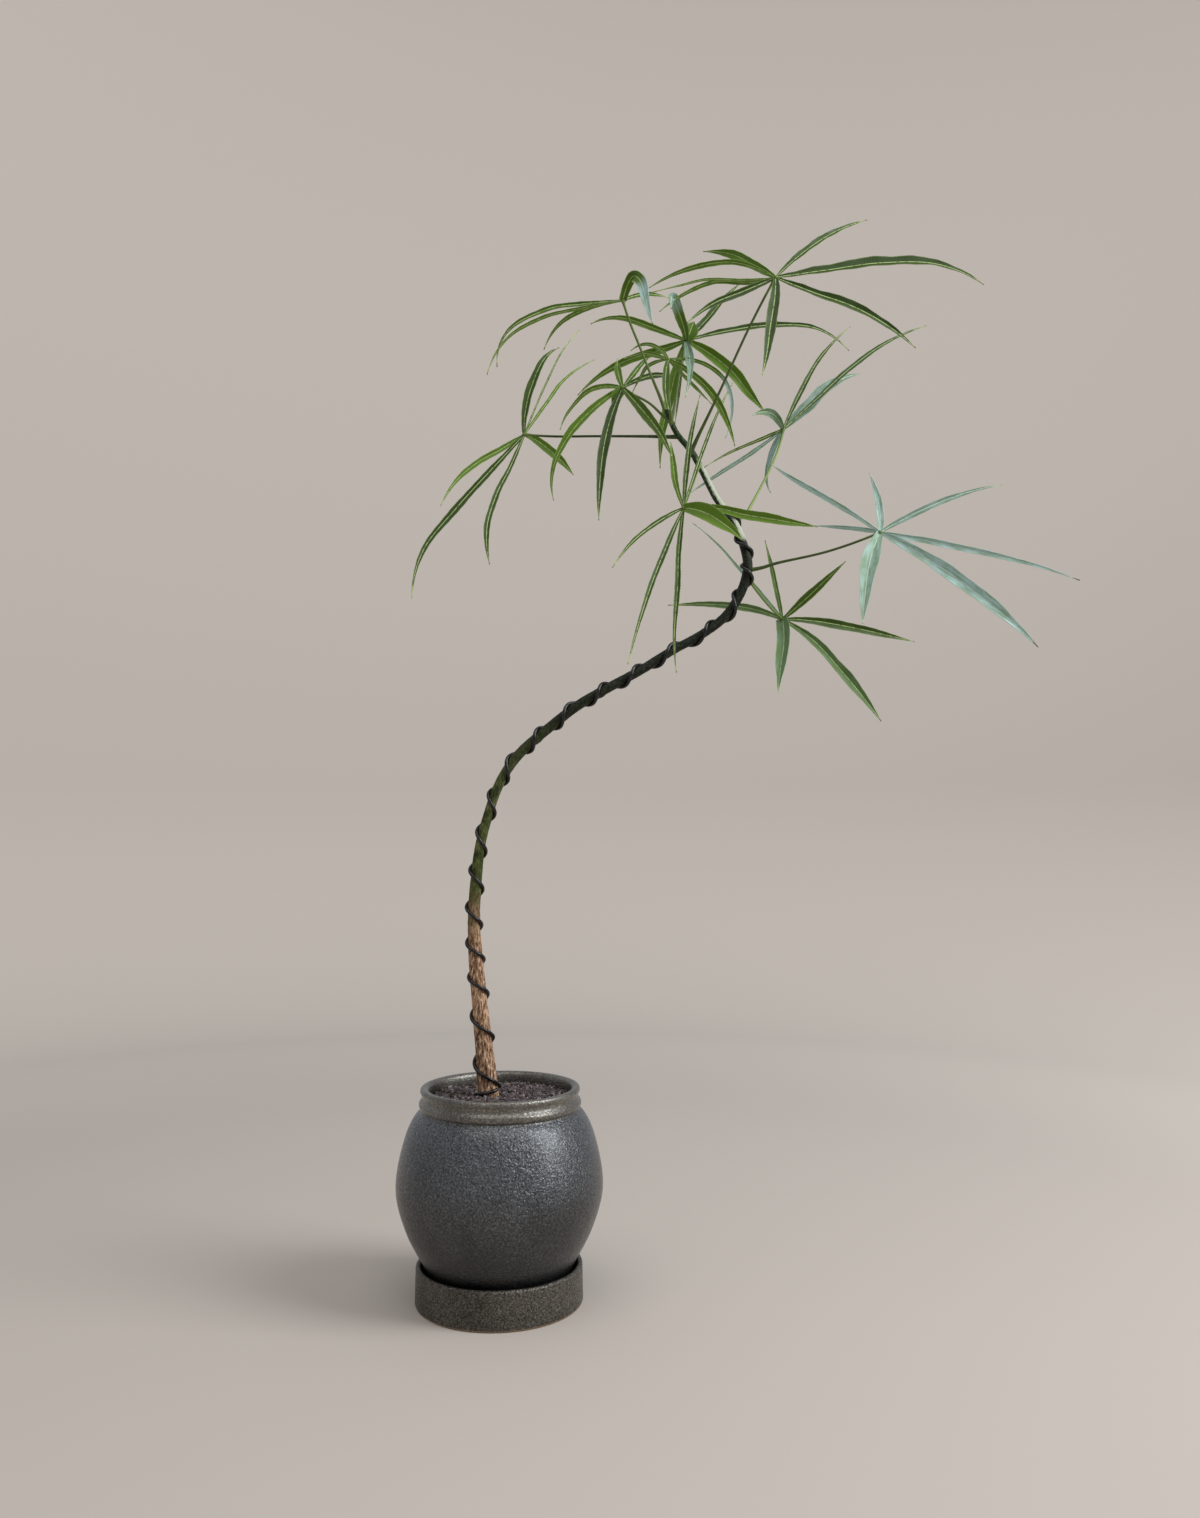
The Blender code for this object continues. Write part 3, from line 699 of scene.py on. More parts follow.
def grain_places(rng):
    """Places in the order of a sunflower's seeds, each moved a little, with its grain's size."""
    golden = math.pi * (3 - math.sqrt(5))
    for number in range(GRAIN_COUNT):
        size = GRAIN_SIZES[0] + (GRAIN_SIZES[1] - GRAIN_SIZES[0]) * rng.random() ** 1.6
        radius = GRAVEL_RADIUS * math.sqrt((number + 0.5) / GRAIN_COUNT) + rng.uniform(-0.5, 0.5)
        radius = min(radius, GRAVEL_RADIUS + 0.5 - size)
        angle = number * golden + rng.uniform(-0.5, 0.5) / max(radius, 1)
        flat = Vector((radius * math.cos(angle), radius * math.sin(angle)))
        if (flat - TRUNK_FOOT).length < TRUNK_FOOT_RADIUS + size * 0.6:
            continue
        swell = 0.9 * noise.noise(Vector((flat.x, flat.y, 3)) / 9)
        height = gravel_level(radius) + swell + rng.uniform(-0.8, 0.7) * size
        yield Vector((flat.x, flat.y, height)), size


def lay_gravel():
    """The bed, then the grains. They are made in small trays, because each mesh operator visits
    every face that the tray already holds."""
    rng = random.Random(31)
    top = [GRAVEL_RADIUS * (BED_RINGS - step) / BED_RINGS for step in range(BED_RINGS + 1)]
    outline = [(0, GRAVEL_LOW), (GRAVEL_RADIUS, GRAVEL_LOW)]
    outline += [(radius, gravel_level(radius) - BED_DEPTH) for radius in top]
    bm = turn_profile(outline, BED_STEPS)
    layer = bm.verts.layers.float.new("grain")
    for vert in bm.verts:
        vert[layer] = 0.1
    places = list(grain_places(rng))
    for start in range(0, len(places), GRAINS_PER_TRAY):
        tray = bmesh.new()
        tray_layer = tray.verts.layers.float.new("grain")
        for place, size in places[start:start + GRAINS_PER_TRAY]:
            add_grain(tray, place, size, rng, tray_layer)
        mesh = bpy.data.meshes.new("tray")
        tray.to_mesh(mesh)
        tray.free()
        bm.from_mesh(mesh)
        bpy.data.meshes.remove(mesh)
    print("grains laid:", len(places))
    gravel = finish_piece("gravel_bed", bm, gravel_material, "top_gravel")
    gravel.data.shade_flat()


lay_gravel()

# %% [markdown]
# ## Potting mix and drain mesh
# The potting mix fills the pot under the gravel, and a plastic mesh lies over the drain hole.
# Other pieces hide them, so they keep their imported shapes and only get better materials: dark
# crumbs, and worn black plastic.

# %% Finish the potting mix and the drain mesh
MIX_COLOURS = (
    (0.25, (0.012, 0.008, 0.006, 1)),
    (0.5, (0.05, 0.032, 0.02, 1)),
    (0.8, (0.12, 0.085, 0.05, 1)),
)
PLASTIC_COLOURS = ((0.012, 0.012, 0.013, 1), (0.05, 0.048, 0.045, 1))


def set_node_material(node, material):
    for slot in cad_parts[node].material_slots:
        slot.material = material


def make_mix_material():
    material, tree, shader = new_material("potting_mix")
    place = object_place(tree)
    crumbs = add_node(tree, "ShaderNodeTexVoronoi", {"Vector": place, "Scale": 420.0})
    shade = noise_pattern(tree, place, 260.0, 4.0)
    fill(tree, shader, {"Base Color": colour_ramp(tree, shade, MIX_COLOURS), "Roughness": 0.95})
    roughen(tree, shader, crumbs.outputs["Distance"], 0.002)
    return material


def make_drain_mesh_material():
    material, tree, shader = new_material("drain_mesh_plastic")
    grain = noise_pattern(tree, object_place(tree), 700.0, 3.0)
    colour = mix_colours(tree, remap(tree, grain, 0.35, 0.65), *PLASTIC_COLOURS)
    rough = remap(tree, grain, 0.3, 0.7, 0.42, 0.65)
    fill(tree, shader, {"Base Color": colour, "Roughness": rough})
    roughen(tree, shader, grain, 0.0003)
    return material


set_node_material("potting_mix", make_mix_material())
set_node_material("drain_mesh", make_drain_mesh_material())
print("packed pieces kept: potting_mix, drain_mesh")

# %% [markdown]
# ## Bark
# A bottle tree's young stem is corky and fibrous where it is oldest, with dark cracks between pale
# tan ridges. Higher up the cork is only beginning, so the stem turns a mottled green, and then the
# dark olive of this year's growth. Near the top, a pale painted highlight lies on the side turned
# to the window light. All of this depends on height, so one material blends the kinds of bark by
# it, and noise moves each border a little up and down.

# %% Make the bark
CORK_COLOURS = (
    (0.33, (0.016, 0.008, 0.005, 1)),
    (0.42, (0.12, 0.061, 0.033, 1)),
    (0.51, (0.33, 0.185, 0.103, 1)),
    (0.62, (0.70, 0.49, 0.32, 1)),
)
GREEN_COLOURS = (
    (0.40, (0.010, 0.014, 0.003, 1)),
    (0.50, (0.045, 0.058, 0.011, 1)),
    (0.60, (0.12, 0.13, 0.04, 1)),
    (0.70, (0.26, 0.24, 0.13, 1)),
)
DARK_COLOURS = (
    (0.35, (0.002, 0.003, 0.001, 1)),
    (0.55, (0.009, 0.013, 0.003, 1)),
    (0.70, (0.036, 0.044, 0.012, 1)),
)
SHOOT_COLOURS = (
    (0.35, (0.009, 0.022, 0.002, 1)),
    (0.55, (0.026, 0.052, 0.008, 1)),
    (0.70, (0.12, 0.16, 0.06, 1)),
)
# Heights in metres between which one kind of bark turns into the next.
GREEN_BEGINS = (0.285, 0.325)
DARK_BEGINS = (0.33, 0.38)
SHOOT_BEGINS = (0.47, 0.51)
# Painted highlight: the heights, the side and the colour of the pale strip painted where the window light
# falls on the young stem.
PAINTED_HIGHLIGHT_BEGINS = (0.444, 0.454)
PAINTED_HIGHLIGHT_ENDS = (0.490, 0.502)
PAINTED_HIGHLIGHT_SIDE = (0.75, -0.45, 0.48)
PAINTED_HIGHLIGHT_COLOUR = (0.52, 0.56, 0.42, 1)


def make_bark_material():
    material, tree, shader = new_material("bark")
    place = object_place(tree)
    height = height_above_base(tree, place)
    stretched = calculate_vectors(tree, "MULTIPLY", place, (1.0, 1.0, 0.26))
    fibres = noise_pattern(tree, stretched, 950.0, 5.0, 0.66)
    patches = noise_pattern(tree, place, 130.0, 3.0, 0.6)
    specks = noise_pattern(tree, place, 620.0, 3.0, 0.6)
    drift = calculate(tree, "MULTIPLY_ADD", patches, 0.07, height)
    cork_end = calculate(tree, "MULTIPLY_ADD", patches, 0.06, height)
    cork_end = calculate(tree, "MULTIPLY_ADD", fibres, 0.11, cork_end)
    green_place = calculate(
        tree, "MULTIPLY_ADD", fibres, 0.5, calculate(tree, "MULTIPLY", patches, 0.5)
    )
    old = colour_ramp(tree, fibres, CORK_COLOURS)
    green = colour_ramp(tree, green_place, GREEN_COLOURS)
    dark = colour_ramp(tree, specks, DARK_COLOURS)
    shoot = colour_ramp(tree, specks, SHOOT_COLOURS)
    colour = mix_colours(tree, remap(tree, cork_end, *GREEN_BEGINS), old, green)
    colour = mix_colours(tree, remap(tree, drift, *DARK_BEGINS), colour, dark)
    colour = mix_colours(tree, remap(tree, drift, *SHOOT_BEGINS), colour, shoot)
    # Painted highlight: near the top, the young stem is painted pale on the side turned to the window
    # light.
    normal = add_node(tree, "ShaderNodeTexCoord").outputs["Normal"]
    turned = calculate_vectors(tree, "DOT_PRODUCT", normal, PAINTED_HIGHLIGHT_SIDE)
    painted_highlight = remap(tree, calculate(tree, "MULTIPLY_ADD", specks, 0.5, turned), 0.35, 0.75)
    level = calculate(tree, "MULTIPLY_ADD", patches, 0.02, height)
    painted_highlight = calculate(tree, "MULTIPLY", painted_highlight, remap(tree, level, *PAINTED_HIGHLIGHT_BEGINS))
    painted_highlight = calculate(tree, "MULTIPLY", painted_highlight, remap(tree, level, *PAINTED_HIGHLIGHT_ENDS, 1.0, 0.0))
    colour = mix_colours(tree, painted_highlight, colour, PAINTED_HIGHLIGHT_COLOUR)
    rough = remap(tree, height, 0.22, 0.36, 0.85, 0.42)
    fill(tree, shader, {"Base Color": colour, "Roughness": rough, "Specular IOR Level": 0.22})
    relief = calculate(tree, "MULTIPLY_ADD", specks, 0.5, fibres)
    roughen(tree, shader, relief, 0.0007)
    return material


bark = make_bark_material()
print("bark nodes:", len(bark.node_tree.nodes))

# %% [markdown]
# ## Trunk
# The stem bends into a long S and thins towards the tip. It is one rolled grid, with a ring for
# about every millimetre. The cracks are in the mesh, because their edges catch the light, and they
# fade out where the cork ends. Fallen leaves have left two small scars.

# %% Roll the trunk
TRUNK = (
    (-3, 0, 62, 2.5),
    (-4, 0, 80, 5.5),
    (-6, 0, 100, 6.6),
    (-7, 0, 115, 6.2),
    (-9, 0, 135, 5.5),
    (-11, -1, 155, 4.8),
    (-13, -1, 175, 4.3),
    (-15, -1, 196, 3.8),
    (-16, -1, 217, 3.6),
    (-15, 0, 237, 3.4),
    (-13, 1, 257, 3.0),
    (-8, 1, 277, 2.8),
    (-1, 1, 296, 2.8),
    (10, 0, 312, 2.9),
    (26, -1, 326, 2.9),
    (44, -2, 340, 2.9),
    (61, -2, 350, 2.8),
    (81, -1, 361, 2.7),
    (100, 0, 373, 2.6),
    (118, 1, 383, 2.6),
    (132, 1, 394, 2.7),
    (141, 1, 408, 2.8),
    (145, 0, 422, 2.9),
    (143, 0, 435, 2.6),
    (137, 0, 450, 2.3),
    (127, 0, 464, 2.1),
    (119, 0, 480, 2.0),
    (112, 0, 493, 1.9),
    (104, 0, 503, 1.7),
    (99, -1, 513, 1.6),
    (97, -2, 518, 1.4),
)  # x, y, z and radius along the trunk's centre line
trunk_line = smooth_path(TRUNK, 8)
TRUNK_RINGS = 560
TRUNK_SIDES = 40
FISSURE_DEPTH = 0.55
CORK_TOP = 215.0  # distance along the trunk where the fissures have faded
CORK_FADE = 70.0  # and the distance that the fading takes
SCARS = ((270.0, -1.5, 1.6), (316.0, -1.3, 1.4))  # distance, angle and breadth


def bark_height(angle, distance, radius):
    """How far the surface stands out from the trunk's smooth shape."""
    round_place = Vector((math.cos(angle), math.sin(angle), 0)) * radius
    fibre = noise.noise(Vector((round_place.x * 0.9, round_place.y * 0.9, distance * 0.09)))
    ridge = noise.noise(Vector((round_place.x * 0.35, round_place.y * 0.35, distance * 0.045 + 9)))
    skin = noise.noise(Vector((round_place.x * 1.1, round_place.y * 1.1, distance * 0.6 + 40)))
    cork = min(max((CORK_TOP - distance) / CORK_FADE, 0.0), 1.0)
    fissure = -max(0.0, 0.12 - abs(fibre)) / 0.12 * FISSURE_DEPTH
    height = cork * (fissure + 0.5 * ridge) + 0.12 * skin
    for place, side, breadth in SCARS:
        gap = math.hypot(distance - place, math.remainder(angle - side, math.tau) * radius)
        gap /= breadth
        height += 0.7 * math.exp(-(gap**2)) - 0.5 * math.exp(-((gap * 2.5) ** 2))
    return height


def roll_trunk():
    bm = new_bmesh()
    path = evenly(trunk_line, TRUNK_RINGS)
    add_tube(bm, path, [point[3] for point in path], TRUNK_SIDES, bark_height)
    finish_piece("trunk_stem", bm, bark, "trunk")


roll_trunk()

# %% [markdown]
# ## Training wire
# Bonsai wire is soft annealed aluminium with a dark brown skin. It is wound by hand from the foot
# of the trunk to just above the lowest leaves, so no two turns climb quite the same. Its lower end
# goes nearly once round and is tucked under. The wire follows a helix about the trunk's own line.
# It is a tube of many rings, because a coarse one would show corners on the tight turns.

# %% Wind the wire
WIRE_RADIUS = 1.05
WIRE_CLEARANCE = -0.12  # the wire has bitten this far into the soft bark
WIRE_START = 57.0  # distance along the trunk to where the wire crosses its right side
WIRE_TURNS = (29, 25, 20, 20, 21, 22, 23, 22, 24, 22, 24, 22, 24, 26, 25, 23, 15, 20)
WIRE_LAST = (0.35, 7.0)  # the last part turn, and how far it climbs
WIRE_TAIL = 0.9  # share of a turn that is tucked under at the lower end
WIRE_TAIL_DIP = 2.4  # how far that tail dips
WIRE_STEPS = 40  # rings for each turn
WIRE_SIDES = 14
WIRE_COLOURS = ((0.005, 0.004, 0.004, 1), (0.020, 0.015, 0.012, 1))


def trunk_frame(distance):
    """The trunk's centre, radius and directions to its right and back at a distance along it."""
    for a, b in zip(trunk_line, trunk_line[1:]):
        length = (b.to_3d() - a.to_3d()).length
        if distance <= length:
            break
        distance -= length
    here = a.lerp(b, min(distance / length, 1.0))
    heading = (b.to_3d() - a.to_3d()).normalized()
    right = Vector((0, 1, 0)).cross(heading).normalized()
    return here.to_3d(), here[3], right, heading.cross(right)


def wire_path():
    climbs = [(0.0, 0.0, 0.0)]
    for number, rise in enumerate(WIRE_TURNS):
        climbs.append((number + 1.0, climbs[-1][1] + rise, 0.0))
    climbs.append((climbs[-1][0] + WIRE_LAST[0], climbs[-1][1] + WIRE_LAST[1], 0.0))
    tail = [-step / WIRE_STEPS for step in range(int(WIRE_STEPS * WIRE_TAIL), 0, -1)]
    winding = [(turns, WIRE_TAIL_DIP * ((1 + 2 * turns) ** 2 - 1)) for turns in tail]
    winding += [(turns, rise) for turns, rise, _ in smooth_path(climbs, WIRE_STEPS)]
    points = []
    for turns, rise in winding:
        centre, radius, right, back = trunk_frame(WIRE_START + rise)
        angle = math.tau * turns
        reach = radius + WIRE_RADIUS + WIRE_CLEARANCE
        points.append(centre + reach * (math.cos(angle) * right - math.sin(angle) * back))
    return points


def make_wire_material():
    material, tree, shader = new_material("dark_wire")
    place = object_place(tree)
    wear = noise_pattern(tree, place, 500.0, 4.0, 0.6)
    smear = noise_pattern(tree, place, 90.0, 2.0)
    colour = mix_colours(tree, remap(tree, wear, 0.42, 0.7), *WIRE_COLOURS)
    rough = remap(tree, smear, 0.3, 0.7, 0.10, 0.24)
    fill(tree, shader, {"Base Color": colour, "Roughness": rough, "Metallic": 0.15})
    roughen(tree, shader, wear, 0.00025)
    return material


def wind_wire():
    bm = new_bmesh()
    path = wire_path()
    add_tube(bm, path, [WIRE_RADIUS] * len(path), WIRE_SIDES)
    finish_piece("wire_coil", bm, make_wire_material(), "training_wire")


wind_wire()

# %% [markdown]
# ## Leaf finish
# A leaf lobe is a narrow blade folded along its midrib. The midrib is a bright yellow-green line,
# very faint side veins slant out from it, the toothed margin is a little paler, and the tips have
# dried brown. Some lobes carry a painted silvery sheen, which is a painted reflection of the window
# light. Lobes are also painted lighter or darker, partly for their own tone and partly for how the
# light falls on them. Each lobe's UV map runs along it in decimetres and across it from edge to
# edge, so one node group can draw all of this on lobes of any length. Two attributes help it: one
# says how far along the lobe a point lies, how light the lobe is and how much painted sheen it
# carries, and half_width lets the midrib keep the same breadth on wide and narrow lobes.

# %% Build the leaf group
VEIN_GAP = 0.014  # decimetres
MIDRIB_EDGE = (0.16, 0.34)  # millimetres from the middle where the midrib fades out
PAINTED_SHEEN_COLOUR = (0.40, 0.56, 0.53, 1)
PAINTED_SHEEN_MIDRIB = (0.62, 0.76, 0.66, 1)
DRY_TIP = (0.14, 0.10, 0.035, 1)


def make_leaf_group():
    tree, given, result = new_group("leaf_blade", ("Dark", "Green", "Light"))
    uv = add_node(tree, "ShaderNodeUVMap", uv_map="UVMap").outputs["UV"]
    split = add_node(tree, "ShaderNodeSeparateXYZ", {"Vector": uv})
    tone_and_painted_light = add_node(tree, "ShaderNodeAttribute", attribute_name="tone_and_painted_light").outputs["Color"]
    tone_and_light_parts = add_node(tree, "ShaderNodeSeparateColor", {"Color": tone_and_painted_light})
    share, painted_light_and_tone, painted_sheen = (tone_and_light_parts.outputs[name] for name in ("Red", "Green", "Blue"))
    half_width = add_node(tree, "ShaderNodeAttribute", attribute_name="half_width").outputs["Fac"]
    place = object_place(tree)
    off_middle = calculate(tree, "MULTIPLY_ADD", split.outputs["Y"], 2.0, -1.0)
    side = calculate(tree, "ABSOLUTE", off_middle)
    blotches = noise_pattern(tree, place, 160.0, 3.0, 0.6)
    grain = noise_pattern(tree, place, 1400.0, 2.0, 0.6)
    # Faint side veins leave the midrib at a slant.
    slant = calculate(tree, "MULTIPLY_ADD", side, -0.022, split.outputs["X"])
    wander = calculate(tree, "MULTIPLY_ADD", blotches, 0.03, slant)
    wave = calculate(tree, "SINE", calculate(tree, "MULTIPLY", wander, math.tau / VEIN_GAP))
    veins = remap(tree, wave, 0.4, 1.0)
    # The midrib keeps its width in millimetres on wide and narrow lobes alike.
    from_middle = calculate(tree, "MULTIPLY", calculate(tree, "POWER", side, 1.25), half_width)
    midrib = remap(tree, from_middle, *MIDRIB_EDGE, 1.0, 0.0)
    breaks = remap(tree, noise_pattern(tree, place, 420.0, 2.0), 0.36, 0.5, 0.35, 1.0)
    midrib = calculate(tree, "MULTIPLY", midrib, breaks)
    margin = remap(tree, side, 0.86, 1.0)
    # Painted light: each lobe's lightness is partly its own tone and partly painted light, lighter where
    # the window light falls on it.
    level = calculate(tree, "ADD", painted_light_and_tone, -0.25)
    level = calculate(tree, "MULTIPLY_ADD", blotches, 0.5, level)
    level = calculate(tree, "ADD", level, -0.125)
    level = calculate(tree, "MULTIPLY_ADD", grain, 0.25, level, clamp=True)
    colour = mix_colours(tree, level, given["Dark"], given["Green"])
    for mask, strength in ((veins, 0.06), (margin, 0.3)):
        share_of_light = calculate(tree, "MULTIPLY", mask, strength)
        colour = mix_colours(tree, share_of_light, colour, given["Light"])
    # A painted silvery sheen, a painted reflection of the window light, lies on some lobes in streaks that
    # follow their length.
    along = calculate_vectors(tree, "MULTIPLY", uv, (9, 4, 0))
    streaks = remap(tree, noise_pattern(tree, along, 1.0, 3.0, 0.6), 0.36, 0.62, 0.55, 1.1)
    painted_sheen_share = calculate(tree, "MULTIPLY", painted_sheen, streaks, clamp=True)
    colour = mix_colours(tree, painted_sheen_share, colour, PAINTED_SHEEN_COLOUR)
    midrib_colour = mix_colours(tree, painted_sheen, given["Light"], PAINTED_SHEEN_MIDRIB)
    colour = mix_colours(tree, calculate(tree, "MULTIPLY", midrib, 0.85), colour, midrib_colour)
    dry_from = remap(tree, blotches, 0.35, 0.65, 0.95, 0.99)
    dry = remap(tree, calculate(tree, "SUBTRACT", share, dry_from), 0.0, 0.03)
    colour = mix_colours(tree, dry, colour, DRY_TIP)
    rough = remap(tree, blotches, 0.3, 0.7, 0.46, 0.60)
    rough = calculate(tree, "MULTIPLY_ADD", midrib, 0.12, rough)
    height = calculate(tree, "MULTIPLY_ADD", midrib, 1.0, calculate(tree, "MULTIPLY", veins, -0.03))
    height = calculate(tree, "MULTIPLY_ADD", grain, 0.25, height)
    fill(tree, result, {"Color": colour, "Roughness": rough, "Height": height})
    return tree


leaf_group = make_leaf_group()
print("leaf group nodes:", len(leaf_group.nodes))

# %% [markdown]
# ## Leaf materials
# The underside of a leaf is paler and greyer than its upper side, so the node group is placed in
# two materials with different greens. A stalk has no blade to draw, so its material is simpler. It
# runs from nearly black to yellow-green, by the lightness that its points carry, which is the
# stalk's own tone and painted light together.

# %% Mix the leaf materials
LEAF_SHINE = 0.26


def make_leaf_material(name, dark, green, light):
    material, tree, shader = new_material(name)
    group = place_group(tree, leaf_group, {"Dark": dark, "Green": green, "Light": light})
    fill(tree, shader, {"Base Color": group["Color"], "Roughness": group["Roughness"]})
    fill(tree, shader, {"Specular IOR Level": LEAF_SHINE})
    roughen(tree, shader, group["Height"], 0.0002)
    return material


leaf_top = make_leaf_material(
    "leaf_upper_side", (0.022, 0.050, 0.0015, 1), (0.10, 0.195, 0.006, 1), (0.46, 0.58, 0.22, 1)
)
leaf_under = make_leaf_material(
    "leaf_under_side", (0.05, 0.10, 0.025, 1), (0.15, 0.25, 0.08, 1), (0.36, 0.46, 0.18, 1)
)


def make_stalk_material():
    material, tree, shader = new_material("leaf_stalk")
    place = object_place(tree)
    tone_and_painted_light = add_node(tree, "ShaderNodeAttribute", attribute_name="tone_and_painted_light").outputs["Color"]
    tone_and_light_parts = add_node(tree, "ShaderNodeSeparateColor", {"Color": tone_and_painted_light})
    mottle = noise_pattern(tree, place, 300.0, 3.0)
    # The stalk's lightness is its own tone and painted light together: a sunlit stalk is painted lighter.
    level = calculate(tree, "ADD", tone_and_light_parts.outputs["Green"], -0.15)
    level = calculate(tree, "MULTIPLY_ADD", mottle, 0.3, level, clamp=True)
    colour = mix_colours(tree, level, (0.006, 0.018, 0.001, 1), (0.26, 0.37, 0.085, 1))
    fill(tree, shader, {"Base Color": colour, "Roughness": 0.42, "Specular IOR Level": 0.3})
    roughen(tree, shader, mottle, 0.0002)
    return material


leaf_stalk = make_stalk_material()
print("leaf finishes:", leaf_top.name, leaf_under.name, leaf_stalk.name)
